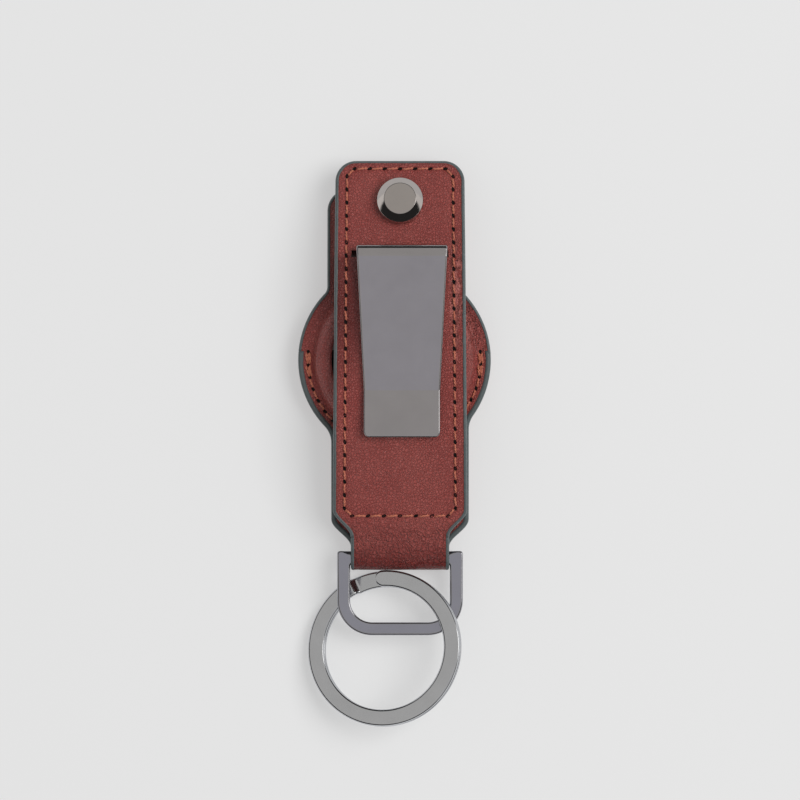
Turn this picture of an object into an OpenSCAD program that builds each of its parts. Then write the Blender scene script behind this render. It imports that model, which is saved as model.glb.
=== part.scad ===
// Leather holder for a round tracker tag. A strap folds round a D-ring and snaps
// shut over a moulded pocket. It carries a spring clip, and a split ring for keys.
// The origin is on the table under the pocket's centre. +Y runs up the strap and
// +Z is the side with the clip.

/* [Leather] */
// Thickness of the outer skin, one strip from the front round the fold to the pocket
skin_t = 1.1; // [0.8:0.05:1.6]
// Thickness of the stiffening board inside the front strap
core_t = 0.8; // [0.6:0.05:1.2]
// Thickness of the lining behind the front strap
lining_t = 1.0; // [0.7:0.05:1.4]
// Thickness of the rear panel with the window
panel_t = 1.0; // [0.7:0.05:1.4]

/* [Front strap] */
// Distance from the pocket's centre to the top edge
strap_top = 41.4; // [38:0.2:50]
// Width at the top edge
strap_top_w = 26.7; // [24:0.1:29]
// Width above the lower shoulders
strap_low_w = 27.8; // [25:0.1:30]
// Radius of the two top corners
strap_corner_r = 4.2; // [2:0.1:7]
// Distance from the D-ring's bar up to the middle of the shoulders
shoulder_rise = 7.2; // [6:0.1:10]
// Length over which a shoulder runs into the neck
shoulder_len = 5.8; // [3:0.1:6]
// Width of the neck at the fold
neck_w = 20.3; // [17:0.1:22]
// Length of the level stretch over the pocket
arch_flat = 28; // [24:0.5:32]
// Length over which the strap bends from level to sloped
arch_bend = 6; // [3:0.5:9]
// Angle at which the strap falls from the pocket to its top edge
top_slope = 13.8; // [8:0.2:14]

/* [Pocket] */
// Diameter of the tag that it holds
tag_d = 31.9; // [30:0.1:33]
// Width of the flat rim round the moulded wall
rim_w = 3.15; // [2.5:0.05:5]
// Height of the closed pocket
pocket_h = 9.4; // [8.8:0.1:11]
// How far the moulded wall covers the tag's edge round the window
window_lip = 2.95; // [2.5:0.05:7]
// Width of the rounded edge of the base under the tag
base_curve = 3.05; // [2:0.05:6]
// Distance from the pocket's centre up to the edge of the pocket's mouth
mouth_rise = 2.1; // [0.5:0.1:6]
// How far the disc sits to the left of the strap's middle
disc_set = 1.15; // [0:0.05:1.5]
// Thickness of the moulded wall round the tag
wall_t = 0.8; // [0.6:0.05:1]

/* [Rear strap] */
// How far the snap tab reaches past the snap
tab_reach = 3.55; // [1.5:0.05:5]
// Width of the snap tab
tab_w = 28.2; // [25:0.1:30]
// Radius of the snap tab's corners
tab_corner_r = 4.5; // [2:0.1:7]
// How far the snap tab sits to the left of the strap's middle
tab_set = 0.95; // [0:0.05:1.5]
// Width of the rear strap below the pocket
rear_low_w = 28.5; // [26:0.1:31]
// Distance from the D-ring's bar up to the middle of the rear shoulders
rear_shoulder_rise = 5.1; // [4.6:0.1:6.2]
// Radius of the fillets between the tab and the disc
tab_fillet_r = 2.2; // [1:0.1:4]
// Radius of the fillets between the disc and the lower strap
low_fillet_r = 5; // [2:0.1:7]

/* [Stitching] */
// Diameter of the thread
thread_d = 0.45; // [0.3:0.05:0.6]
// Distance from one hole to the next down the sides and round the pocket
stitch_pitch = 2.75; // [2:0.05:4]
// Distance from one hole to the next across the front strap's two ends
cross_pitch = 3.1; // [2:0.05:4]
// Distance from the edge to the row of holes
stitch_inset = 2.35; // [1.5:0.05:3]

/* [Snap] */
// Distance from the strap's top edge down to the snap
snap_inset = 9.25; // [8:0.05:11]
// Radius of the cap's base
cap_r = 4.8; // [4:0.1:6]
// Radius of the cap's level top
cap_top_r = 3.3; // [2.5:0.1:3.8]
// Height of the cap
cap_h = 3.2; // [2.6:0.1:4]
// Height of the cap's straight side below its chamfer
cap_side_h = 1.9; // [0.5:0.1:2.2]
// Radius of the socket behind the strap
socket_r = 4.7; // [4:0.1:5.5]
// Radius of the stud's head
stud_r = 2; // [1.6:0.1:2.2]

/* [Clip] */
// Distance from the snap down to the clip's bend
clip_below = 8.25; // [8:0.05:15]
// Distance from the pocket's centre down to the end of the lip
lip_drop = 16.1; // [12:0.1:20]
// Distance from the pocket's centre down to the crease above the lip
crease_drop = 5.6; // [2:0.1:9]
// Width of the clip at its bend
clip_top_w = 19; // [14:0.1:20]
// Width of the clip at the crease
clip_low_w = 15.9; // [10:0.1:18]
// Thickness of the spring steel
clip_t = 0.9; // [0.7:0.05:1.1]
// Radius of the bend along the middle of the sheet
clip_bend_r = 1.25; // [1:0.05:2]
// Height of the lip's end above the strap
lip_h = 2.2; // [1:0.1:4]
// Gap between the leaf and the strap's level stretch, measured at the bend
clip_lift = 0.7; // [0.5:0.05:2]

/* [D-ring] */
// Distance from the pocket's centre down to the bar inside the fold
bar_drop = 41.2; // [40:0.1:44]
// Height of the bar above the table
bar_z = 4.95; // [4.85:0.05:5.2]
// Gap between the neck and each leg
neck_gap = 0.25; // [0.2:0.05:1.5]
// Length from the bar to the bottom leg, centre to centre
dee_len = 14.85; // [12:0.1:18]
// Thickness of the wire, which is square
dee_wire = 2.7; // [2:0.1:3]
// Outer radius of the two lower corners
dee_corner_r = 7.3; // [5:0.1:9]
// Angle at which the ring's far end rests above level
dee_lean = 1.5; // [0:0.5:5]

/* [Key ring] */
// Outer radius
key_r = 16.1; // [15:0.1:18]
// Width of the flat wire
key_w = 3; // [2:0.1:3.5]
// Height of the two turns together
key_h = 2.4; // [2:0.1:2.6]
// Distance from the D-ring's bar down to the ring's centre
key_reach = 18.9; // [18.8:0.1:24]
// How far the ring's centre lies to the left
key_set = 3.2; // [0:0.1:4]
// Angle at which the ring leans on the D-ring
key_lean = 17; // [15:0.5:20]
// Direction of its highest point, from +X
key_lean_dir = 330; // [320:1:340]
// Direction in which its outer end lies, from +X
key_end_dir = 97.6; // [80:0.2:110]
// Angle from the outer end to the step between the turns
key_lap = 19; // [12:1:30]

/* [Hidden] */

$fn = 64;

// Overrun of every cut past the face that it leaves
over = 1;
// Gap at which loose pieces of different bodies lie at rest
rest_gap = 0.3;
// Gap round a post, a plate or a thread in its hole
snug = 0.05;
// Extra radius of the pocket round the tag
tag_gap = 0.1;
// Extra radius of the fold round the corners of the D-ring's bar
bar_gap = 0.05;
// Rounding of the bar's four corners
bar_round = 1.1;

leather = [0.48, 0.26, 0.25];
lining = [0.42, 0.22, 0.21];
board = [0.55, 0.5, 0.45];
thread = [0.64, 0.4, 0.36];
gunmetal = [0.52, 0.5, 0.49];
steel = [0.58, 0.58, 0.6];

// Sizes round the tag
tag_r = tag_d / 2 + tag_gap;
foot_r = tag_r + wall_t;
disc_r = foot_r + rim_w;
window_r = tag_r - window_lip;
base_r = tag_r - base_curve;

// Places along the strap
snap_rise = strap_top - snap_inset;
clip_rise = snap_rise - clip_below;
tab_top = snap_rise + tab_reach;
shoulder_drop = bar_drop - shoulder_rise;
rear_shoulder_drop = bar_drop - rear_shoulder_rise;
seam = pocket_h / 2;
arch_h = pocket_h + thread_d + rest_gap;
bar_half = dee_wire / 2;
sleeve_r = sqrt(2) * (bar_half - bar_round) + bar_round + bar_gap;
neck_y = -shoulder_drop - shoulder_len / 2;
rear_neck_y = -rear_shoulder_drop - shoulder_len / 2;
skin_lift = lining_t + core_t;

// How far a line falls once it is past a bend that starts at run 0
function bend_fall(run, slope) =
    run <= 0 ? 0 :
    run < arch_bend ? slope * run * run / (2 * arch_bend) :
    slope * (run - arch_bend / 2);

top_fall = tan(top_slope);
low_fall = (arch_h + skin_lift - bar_z - sleeve_r) / (bar_drop - arch_flat / 2 - arch_bend / 2);

// Height of the lining's underside at a place along the strap
function under(y) =
    arch_h - (y > 0 ? bend_fall(y - arch_flat / 2, top_fall) : bend_fall(-y - arch_flat / 2, low_fall));

rear_fall = (seam - bar_z + sleeve_r) / (bar_drop - disc_r);

// Height of the face where the pocket panel and the rear panel meet
function seam_at(y) =
    y > disc_r ? seam - top_fall * (y - disc_r) :
    y < -disc_r ? seam + rear_fall * (y + disc_r) : seam;

bend_steps = 5;
arc_step = 7.5;
step_share = 1 / bend_steps;

// Places along the front strap where its side view turns
function strap_stations(low, high) = concat([low],
    [for (i = [bend_steps:-1:0]) -arch_flat / 2 - arch_bend * i * step_share],
    [for (i = [0:bend_steps]) arch_flat / 2 + arch_bend * i * step_share], [high]);

// A strip that follows a side view: the children of along_x lie in Y and Z
module along_x(width) {
    rotate([90, 0, 90]) linear_extrude(width, center = true) children();
}

// A layer of the front strap, from lift above the lining's underside
module strap_layer(lift, t, low, high) {
    stations = strap_stations(low, high);
    along_x(2 * disc_r) polygon(concat(
        [for (y = stations) [y, under(y) + lift]],
        [for (i = [len(stations) - 1:-1:0]) [stations[i], under(stations[i]) + lift + t]]));
}

// A layer of the rear strap, from lift above the seam face
module rear_layer(lift, t, low, high) {
    stations = [low, -disc_r, disc_r, high];
    along_x(3 * disc_r) polygon(concat(
        [for (y = stations) [y, seam_at(y) + lift]],
        [for (i = [len(stations) - 1:-1:0]) [stations[i], seam_at(stations[i]) + lift + t]]));
}

// Height past every leather layer, for the plan shapes
stack_h = arch_h + skin_lift + skin_t + over;

// The right half of a shoulder, from the neck up to the strap's full width
shoulder_steps = 10;
function shoulder(neck_half, wide_half, middle) =
    [for (i = [0:shoulder_steps])
        [neck_half + (wide_half - neck_half) * (1 - cos(180 * i / shoulder_steps)) / 2,
            -middle + shoulder_len * (i / shoulder_steps - 1 / 2)]];

// The right half of a rounded top end
function round_end(half, top, r) =
    [for (a = [0:arc_step:90]) [half - r + r * cos(a), top - r + r * sin(a)]];

function both_sides(right) =
    concat(right, [for (i = [len(right) - 1:-1:0]) [-right[i][0], right[i][1]]]);

// Half of the front strap's width, which grows a little towards the shoulders
function strap_half(y) =
    (strap_top_w + (strap_low_w - strap_top_w) * (strap_top - y) / (strap_top + shoulder_drop)) / 2;

module strap_plan() {
    polygon(both_sides(concat(
        shoulder(neck_w / 2, strap_low_w / 2, shoulder_drop),
        round_end(strap_top_w / 2, strap_top, strap_corner_r))));
}

// Fillet between the disc and a strap edge at x = edge, above (up = 1) or below it
fillet_steps = 6;
module disc_fillet(edge, side, up, r) {
    reach = edge + side * r + disc_set;
    rise = sqrt(pow(disc_r + r, 2) - pow(reach, 2));
    turn = atan2(rise, abs(reach));
    arc = [for (i = [0:fillet_steps])
        [edge + side * r * (1 - cos(turn * i / fillet_steps)), up * (rise - r * sin(turn * i / fillet_steps))]];
    polygon(concat([[0, arc[0][1]]], arc, [[0, arc[fillet_steps][1]]]));
}

module tab_plan() {
    translate([-tab_set, 0]) polygon(concat(
        [[-tab_w / 2, 0], [tab_w / 2, 0]],
        round_end(tab_w / 2, tab_top, tab_corner_r),
        [for (a = [90:-arc_step:0])
            [-tab_w / 2 + tab_corner_r - tab_corner_r * cos(a), tab_top - tab_corner_r + tab_corner_r * sin(a)]]));
    for (side = [-1, 1]) disc_fillet(side * tab_w / 2 - tab_set, side, 1, tab_fillet_r);
}

module low_plan() {
    polygon(both_sides(concat(
        shoulder(neck_w / 2, rear_low_w / 2, rear_shoulder_drop),
        [[rear_low_w / 2, 0]])));
    for (side = [-1, 1]) disc_fillet(side * rear_low_w / 2, side, -1, low_fillet_r);
}

// Points of the moulded shoulder between the rim's face and a level face
function moulded(r_in, r_foot, z_foot, z_level) =
    [for (a = [0:arc_step:90]) [r_in + (r_foot - r_in) * cos(a), z_foot + (z_level - z_foot) * sin(a)]];

function backwards(list) = [for (i = [len(list) - 1:-1:0]) list[i]];

module at_disc() {
    translate([-disc_set, 0, 0]) children();
}

// Front strap
module front_strap_skin() {
    color(leather) difference() {
        intersection() {
            linear_extrude(stack_h) strap_plan();
            strap_layer(skin_lift, skin_t, neck_y, strap_top);
        }
        clip_slit();
        cap_hole();
    }
}

module front_strap_core() {
    color(board) difference() {
        intersection() {
            linear_extrude(stack_h) strap_plan();
            strap_layer(lining_t, core_t, neck_y, strap_top);
        }
        anchor_block(snug);
        cap_hole();
    }
}

module front_strap_lining() {
    color(lining) difference() {
        intersection() {
            linear_extrude(stack_h) strap_plan();
            strap_layer(0, lining_t, neck_y, strap_top);
        }
        cap_hole();
    }
}

// The fold and both necks, bent round the D-ring's bar
module strap_loop() {
    fold_r = sleeve_r + skin_t;
    front_rise = under(neck_y) + skin_lift - bar_z;
    rear_drop = bar_z - seam_at(rear_neck_y);
    front_run = neck_y + bar_drop;
    rear_run = rear_neck_y + bar_drop;
    color(leather) translate([0, -bar_drop, bar_z]) union() {
        difference() {
            rotate([0, 90, 0]) cylinder(r = fold_r, h = neck_w, center = true);
            rotate([0, 90, 0]) cylinder(r = sleeve_r, h = neck_w + 2 * over, center = true);
            translate([-neck_w / 2 - over, 0, -fold_r - over])
                cube([neck_w + 2 * over, fold_r + over, 2 * (fold_r + over)]);
        }
        along_x(neck_w) polygon([[0, sleeve_r], [front_run, front_rise],
            [front_run, front_rise + skin_t], [0, fold_r]]);
        along_x(neck_w) polygon([[0, -sleeve_r], [rear_run, -rear_drop],
            [rear_run, -rear_drop - skin_t], [0, -fold_r]]);
    }
}

// Pocket
module pocket_panel() {
    wall = concat([[0, 0]],
        backwards(moulded(base_r, foot_r, seam - skin_t, 0)),
        [[foot_r, seam]], moulded(base_r, tag_r, seam, skin_t), [[0, skin_t]]);
    color(leather) intersection() {
        union() {
            difference() {
                intersection() {
                    linear_extrude(stack_h) union() {
                        translate([-disc_set, 0]) circle(disc_r);
                        low_plan();
                    }
                    rear_layer(-skin_t, skin_t, rear_neck_y, disc_r);
                }
                at_disc() translate([0, 0, -over]) cylinder(r = tag_r + wall_t / 2, h = stack_h);
            }
            at_disc() rotate_extrude() polygon(wall);
        }
        translate([-2 * disc_r, -bar_drop, -over]) cube([4 * disc_r, bar_drop + mouth_rise, stack_h]);
    }
}

module rear_panel() {
    wall = concat(moulded(window_r, foot_r, seam + panel_t, pocket_h),
        backwards(moulded(window_r, tag_r, seam, pocket_h - panel_t)), [[foot_r, seam]]);
    color(leather) difference() {
        union() {
            difference() {
                intersection() {
                    linear_extrude(stack_h) union() {
                        translate([-disc_set, 0]) circle(disc_r);
                        tab_plan();
                        low_plan();
                    }
                    rear_layer(0, panel_t, rear_neck_y, tab_top);
                }
                at_disc() translate([0, 0, -over]) cylinder(r = tag_r + wall_t / 2, h = stack_h);
            }
            at_disc() rotate_extrude() polygon(wall);
        }
        at_snap() cylinder(r = post_r + snug, h = stack_h, center = true);
    }
}

// Stitching: a stitch lies from one hole to the next
module stitch(a, b) {
    run = b - a;
    length = norm(run);
    translate(a) rotate([0, acos(run[2] / length), atan2(run[1], run[0])])
        cylinder(d = thread_d, h = length - thread_d, $fn = 16);
}

module stitch_line(holes) {
    for (i = [1:len(holes) - 1]) stitch(holes[i - 1], holes[i]);
}

// Evenly spaced places from a to b, about one pitch apart
function spaced(a, b, pitch = stitch_pitch) =
    let (n = max(1, round(norm(b - a) / pitch))) [for (i = [0:n]) a + (b - a) * i / n];

row_cut = stitch_inset * 2 / 3;

function front_holes() = let (
    top_y = strap_top - row_cut,
    low_y = -shoulder_drop + row_cut,
    side_top = top_y - row_cut,
    side_low = low_y + row_cut,
    top_x = strap_half(side_top) - stitch_inset,
    low_x = strap_half(side_low) - stitch_inset)
    concat(spaced([-low_x, side_low], [-top_x, side_top]),
        spaced([-top_x + row_cut, top_y], [top_x - row_cut, top_y], cross_pitch),
        spaced([top_x, side_top], [low_x, side_low]),
        spaced([low_x - row_cut, low_y], [-low_x + row_cut, low_y], cross_pitch),
        [[-low_x, side_low]]);

seam_r = (foot_r + disc_r) / 2 - thread_d;
seam_x = rear_low_w / 2 - stitch_inset;

// One side of the pocket's seam: round the disc from the mouth, then down the strap
function pocket_side(side) = let (
    start = asin((mouth_rise - thread_d) / seam_r),
    end = -acos((seam_x + side * disc_set) / seam_r),
    n = round((start - end) * PI / 180 * seam_r / stitch_pitch),
    low_y = -rear_shoulder_drop + shoulder_len / 2)
    concat([for (i = [0:n])
            let (a = start + (end - start) * i / n) [side * seam_r * cos(a) - disc_set, seam_r * sin(a)]],
        [for (p = spaced([side * seam_x, seam_r * sin(end)], [side * seam_x, low_y]))
            if (p[1] < seam_r * sin(end)) p]);

function pocket_holes() =
    concat(pocket_side(-1), spaced([-seam_x + row_cut, -rear_shoulder_drop + row_cut],
        [seam_x - row_cut, -rear_shoulder_drop + row_cut]), backwards(pocket_side(1)));

thread_lift = thread_d / 2 + snug / 2;

module front_needle_thread() {
    color(thread) stitch_line([for (p = front_holes())
        [p[0], p[1], under(p[1]) + skin_lift + skin_t + thread_lift]]);
}

module front_bobbin_thread() {
    color(thread) stitch_line([for (p = front_holes()) [p[0], p[1], under(p[1]) - thread_lift]]);
}

module pocket_needle_thread() {
    color(thread) stitch_line([for (p = pocket_holes())
        [p[0], p[1], seam_at(p[1]) + panel_t + thread_lift]]);
}

module pocket_bobbin_thread() {
    color(thread) stitch_line([for (p = pocket_holes())
        [p[0], p[1], seam_at(p[1]) - skin_t - thread_lift]]);
}

// Snap: its pieces share one axis, square to the sloped strap
post_r = 1.4;
rim_t = 0.5;
socket_floor = 0.6;
spring_wire = 0.4;
leather_t = skin_lift + skin_t;
snap_base = under(snap_rise);
snap_gap = (snap_base - seam_at(snap_rise) - panel_t) * cos(top_slope);
stack_t = leather_t * cos(top_slope);
tab_t = panel_t * cos(top_slope);
socket_h = snap_gap - rim_t - rest_gap;

// Puts z = 0 on the lining's underside, along the snap's axis
module at_snap() {
    translate([0, snap_rise, snap_base]) rotate([-top_slope, 0, 0]) children();
}

module cap_hole() {
    at_snap() cylinder(r = post_r + snug, h = 2 * stack_h, center = true);
}

module snap_cap() {
    color(gunmetal) at_snap() union() {
        translate([0, 0, stack_t]) rotate_extrude() polygon([[0, 0], [cap_r, 0], [cap_r, cap_side_h],
            [cap_top_r, cap_h], [0, cap_h]]);
        translate([0, 0, -socket_floor]) cylinder(r = post_r, h = stack_t + socket_floor + cap_h / 2);
    }
}

module snap_socket() {
    bore_r = stud_r + 2 * rest_gap;
    color(steel) at_snap() difference() {
        translate([0, 0, -socket_h]) union() {
            cylinder(r = bore_r + 2 * rim_t, h = socket_h);
            translate([0, 0, socket_h - rim_t]) cylinder(r = socket_r, h = rim_t);
        }
        translate([0, 0, -socket_h - over]) cylinder(r = bore_r, h = socket_h - socket_floor - snug + over);
        translate([0, 0, -socket_h]) cylinder(r = post_r + snug, h = socket_h + over);
    }
}

// Open spring ring that grips the stud below its head
module snap_spring() {
    ring_r = stud_r + 2 * rest_gap - spring_wire / 2 - snug;
    color(steel) at_snap() translate([0, 0, -socket_h + spring_wire])
        rotate_extrude(angle = 330) translate([ring_r, 0]) circle(d = spring_wire, $fn = 16);
}

module snap_stud() {
    head_h = socket_h - socket_floor - 2 * rest_gap;
    neck_r = stud_r - spring_wire / 2;
    color(steel) at_snap() translate([0, 0, -snap_gap]) difference() {
        union() {
            cylinder(r = socket_r - rim_t, h = rim_t);
            cylinder(r = neck_r, h = rim_t + rest_gap + 2 * spring_wire);
            translate([0, 0, rim_t + rest_gap + 2 * spring_wire])
                cylinder(r = stud_r, h = head_h - 2 * spring_wire);
        }
        translate([0, 0, -over]) cylinder(r = post_r + snug, h = rim_t + rest_gap + over);
    }
}

// Post that holds the stud, with its head on the table side of the tab
module snap_post() {
    color(steel) at_snap() translate([0, 0, -snap_gap - tab_t]) union() {
        translate([0, 0, -rim_t]) cylinder(r = socket_r - rim_t, h = rim_t);
        cylinder(r = post_r, h = tab_t + rim_t);
    }
}

// Clip: one bent sheet, held between skin and lining
riser_y = clip_rise - clip_t / 2;
skin_top = arch_h + skin_lift + skin_t;
hinge_z = skin_top + clip_lift - clip_bend_r + clip_t / 2;
flex_gap = 0.1;
anchor_end = 1.5;
slit_side = 1.2;
// Half of the leaf's width at a place along it, tapering to the crease
function clip_half(y) = let (
    share = min(1, (clip_rise - y) / (clip_rise + crease_drop)))
    (clip_top_w + (clip_low_w - clip_top_w) * share) / 2;

clip_set = 0.4;

module clip_slit() {
    width = clip_top_w + slit_side;
    translate([clip_set - width / 2 - slit_side / 2, riser_y - clip_t / 2 - snug, lining_t])
        cube([width, clip_t + 2 * snug, stack_h]);
}

// The plate inside the strap, grown by a clearance for its pocket in the board
module anchor_block(gap) {
    intersection() {
        translate([clip_set - clip_top_w / 2 - gap, anchor_end - gap, 0])
            cube([clip_top_w + 2 * gap, riser_y + clip_t / 2 - anchor_end + 2 * gap, stack_h]);
        strap_layer(lining_t - (gap > 0 ? over : 0), core_t + (gap > 0 ? 2 * over : 0), neck_y, strap_top);
    }
}

module clip_anchor() {
    foot = under(riser_y) + lining_t;
    color(gunmetal) union() {
        anchor_block(0);
        translate([clip_set - clip_top_w / 2, riser_y - clip_t / 2, foot + core_t / 2])
            cube([clip_top_w, clip_t, hinge_z - foot - core_t / 2 - flex_gap / 2]);
    }
}

// One face of the leaf in Y and Z, from the hinge over the bend to the lip's end:
// side is 1 for the outer face and -1 for the inner
function leaf_face(side) = let (
    r = clip_bend_r + side * clip_t / 2,
    crease_z = skin_top + flex_gap + (1 + side) * clip_t / 2,
    lip_z = skin_top + lip_h + (side - 1) * clip_t / 2)
    concat([for (a = [0:arc_step * 2:90])
            [riser_y - clip_bend_r + r * cos(a), hinge_z + flex_gap / 2 + r * sin(a)]],
        [[-crease_drop, crease_z], [-lip_drop, lip_z]]);

module clip_leaf() {
    color(gunmetal) intersection() {
        along_x(2 * clip_top_w) polygon(concat(leaf_face(1), backwards(leaf_face(-1))));
        translate([clip_set, 0, 0]) linear_extrude(skin_top + disc_r) polygon([
            [clip_half(-lip_drop), -lip_drop - over], [clip_half(-crease_drop), -crease_drop],
            [clip_half(clip_rise), clip_rise], [clip_half(clip_rise), clip_rise + over],
            [-clip_half(clip_rise), clip_rise + over], [-clip_half(clip_rise), clip_rise],
            [-clip_half(-crease_drop), -crease_drop], [-clip_half(-lip_drop), -lip_drop - over]]);
    }
}

// D-ring: a square wire whose bar is rounded where it turns in the fold
dee_inside_w = neck_w + 2 * neck_gap;
dee_half = dee_inside_w / 2 + dee_wire;
dee_edge_r = 0.5;

// Outline of a D in X and Y with its bar on y = 0, grown outwards by grow
module dee_plan(half, top, bottom, low_r, top_r) {
    polygon(both_sides(concat(
        [for (a = [-90:arc_step:0]) [half - low_r + low_r * cos(a), bottom + low_r + low_r * sin(a)]],
        [for (a = [0:arc_step * 2:90]) [half - top_r + top_r * cos(a), top - top_r + top_r * sin(a)]])));
}

module d_ring() {
    color(gunmetal) translate([0, -bar_drop, bar_z]) rotate([-dee_lean, 0, 0]) union() {
        difference() {
            linear_extrude(dee_wire, center = true) difference() {
                dee_plan(dee_half, bar_half, -dee_len - bar_half, dee_corner_r, dee_edge_r);
                dee_plan(dee_half - dee_wire, -bar_half, -dee_len + bar_half,
                    dee_corner_r - dee_wire, dee_edge_r);
            }
            cube([dee_inside_w, 2 * dee_wire, 2 * dee_wire], center = true);
        }
        bar();
    }
}

module bar() {
    flat = bar_half - bar_round;
    span = dee_inside_w + dee_wire;
    rotate([0, 90, 0]) union() {
        cube([2 * flat, dee_wire, span], center = true);
        cube([dee_wire, 2 * flat, span], center = true);
        for (x = [-flat, flat], y = [-flat, flat]) translate([x, y, 0])
            cylinder(r = bar_round, h = span, center = true);
    }
}

// Key ring: two turns of flat wire, joined by one climb
key_gap = 0.05;
wire_t = (key_h - key_gap) / 2;
key_drop = bar_drop + key_reach;
key_mid_r = key_r - key_w / 2;
key_z = sin(key_lean) * key_r + cos(key_lean) * key_h / 2 + snug;

// Angles round the ring: the climb, its run into each turn, and the inner end's set-back
key_climb_deg = 9;
key_join_deg = 3;
key_back_deg = 9;

module key_turn(from, sweep) {
    rotate([0, 0, from]) rotate_extrude(angle = sweep) translate([key_r - key_w, 0])
        square([key_w, wire_t]);
}

// The stretch that climbs from the lower turn to the upper one, a little narrower
module key_climb() {
    half = key_mid_r * tan(key_climb_deg / 2);
    end = key_mid_r * tan(key_climb_deg / 2 + 1.5 * key_join_deg);
    upper = wire_t + key_gap;
    rotate([0, 0, key_end_dir + key_lap - key_climb_deg / 2]) translate([key_mid_r, 0, 0])
        along_x(key_w - 8 * key_gap) polygon([[-end, 0], [-half, 0], [half, upper], [end, upper],
            [end, key_h], [half, key_h], [-half, wire_t], [-end, wire_t]]);
}

module key_ring() {
    last = key_end_dir + key_lap;
    color(gunmetal) translate([-key_set, -key_drop, key_z])
        rotate(a = key_lean, v = [cos(key_lean_dir - 90), sin(key_lean_dir - 90), 0])
            translate([0, 0, -key_h / 2]) union() {
                translate([0, 0, wire_t + key_gap])
                    key_turn(last + key_join_deg, 360 - key_lap - key_join_deg);
                key_climb();
                key_turn(last + key_back_deg, 360 - key_climb_deg - key_join_deg - key_back_deg);
            }
}

front_strap_skin();
front_strap_core();
front_strap_lining();
strap_loop();
pocket_panel();
rear_panel();
front_needle_thread();
front_bobbin_thread();
pocket_needle_thread();
pocket_bobbin_thread();
snap_cap();
snap_socket();
snap_spring();
snap_stud();
snap_post();
clip_leaf();
clip_anchor();
d_ring();
key_ring();
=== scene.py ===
import math
import random

import bmesh
import bpy
import numpy as np
from mathutils import Matrix, Vector


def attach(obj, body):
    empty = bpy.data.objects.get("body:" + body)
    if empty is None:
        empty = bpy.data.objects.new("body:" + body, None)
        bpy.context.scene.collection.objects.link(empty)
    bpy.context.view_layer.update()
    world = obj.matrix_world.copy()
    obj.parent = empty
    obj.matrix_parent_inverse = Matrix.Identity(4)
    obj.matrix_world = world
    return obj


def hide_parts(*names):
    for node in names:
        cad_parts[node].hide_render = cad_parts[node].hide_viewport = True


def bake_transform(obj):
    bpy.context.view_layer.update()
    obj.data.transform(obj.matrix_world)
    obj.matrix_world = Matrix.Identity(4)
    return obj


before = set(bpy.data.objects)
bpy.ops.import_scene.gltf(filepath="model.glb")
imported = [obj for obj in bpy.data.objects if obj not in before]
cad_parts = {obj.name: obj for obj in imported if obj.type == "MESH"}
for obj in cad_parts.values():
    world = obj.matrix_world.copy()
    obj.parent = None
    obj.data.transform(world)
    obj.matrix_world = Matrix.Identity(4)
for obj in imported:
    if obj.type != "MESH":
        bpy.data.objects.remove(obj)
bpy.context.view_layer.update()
print("frame loaded")

mm = 0.001
scene = bpy.context.scene
dice = random.Random(11)
quarterTurn = math.pi / 2


# small helpers, all in millimetres in the shared frame
def mix(a, b, t):
    return a + (b - a) * t


def spread(a, b, count):
    return [a + (b - a) * i / count for i in range(count + 1)]


def smoothStep(t):
    t = max(0.0, min(1.0, t))
    return t * t * (3 - 2 * t)


def bell(distance, reach):
    return math.exp(-(distance / reach) ** 2)


def arc(x, y, radius, first, last, count, side=1, up=1):
    angles = spread(first, last, count)
    return [(x + side * radius * math.cos(a), y + up * radius * math.sin(a)) for a in angles]


def evenly(a, b, pitch):
    count = max(1, round(math.dist(a, b) / pitch))
    return [(mix(a[0], b[0], i / count), mix(a[1], b[1], i / count)) for i in range(count + 1)]


# direction of a line of points at one of them
def directionAt(line, i):
    a, b = line[max(0, i - 1)], line[min(len(line) - 1, i + 1)]
    run = math.dist(a, b)
    return (b[0] - a[0]) / run, (b[1] - a[1]) / run


# distance from each point to a polyline in plan
def planDistance(points, line):
    p = np.array([(q[0], q[1]) for q in points], float)
    a = np.array(line[:-1], float)
    b = np.array(line[1:], float)
    best = np.full(len(p), np.inf)
    for start, run in zip(a, b - a):
        t = np.clip(((p - start) @ run) / max(run @ run, 1e-12), 0, 1)
        best = np.minimum(best, np.linalg.norm(p - start - t[:, None] * run, axis=1))
    return best


# how far a face drops at a distance from a rounded edge
def edgeDrop(distance, radius):
    if distance >= radius:
        return 0.0
    return radius * (1 - math.sqrt(max(0.0, 1 - (1 - distance / radius) ** 2)))


# quads over a grid of points, which may close on itself either way
def gridFaces(rowCount, columns, rowsClosed=False, columnsClosed=False, skip=()):
    faces = []
    for r in range(rowCount - (not rowsClosed)):
        here, above = r * columns, (r + 1) % rowCount * columns
        for c in range(columns - (not columnsClosed)):
            right = (c + 1) % columns
            if (r, c) not in skip:
                faces.append((here + c, here + right, above + right, above + c))
    return faces


# rings of points joined into a tube, capped at its ends or closed on itself
def tubeFaces(ringCount, around, closed=False):
    faces = gridFaces(ringCount, around, closed, True)
    if not closed:
        faces += [tuple(range(around)), tuple(range((ringCount - 1) * around, ringCount * around))]
    return faces


# border of a block of cells in a grid
def border(columns, low, high, first, last):
    loop = [(low, c) for c in range(first, last)] + [(r, last) for r in range(low, high)]
    loop += [(high, c) for c in range(last, first, -1)] + [(r, first) for r in range(high, low, -1)]
    return [r * columns + c for r, c in loop]


# a closed shell: an upper face, the same face below it and a wall round each loop
def closeShell(upper, lower, faces, loops):
    size = len(upper)
    under = [tuple(i + size for i in face[:1] + face[:0:-1]) for face in faces]
    walls = [(a, a + size, b + size, b) for loop in loops for a, b in zip(loop, loop[1:] + loop[:1])]
    return upper + lower, faces + under + walls


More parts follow.
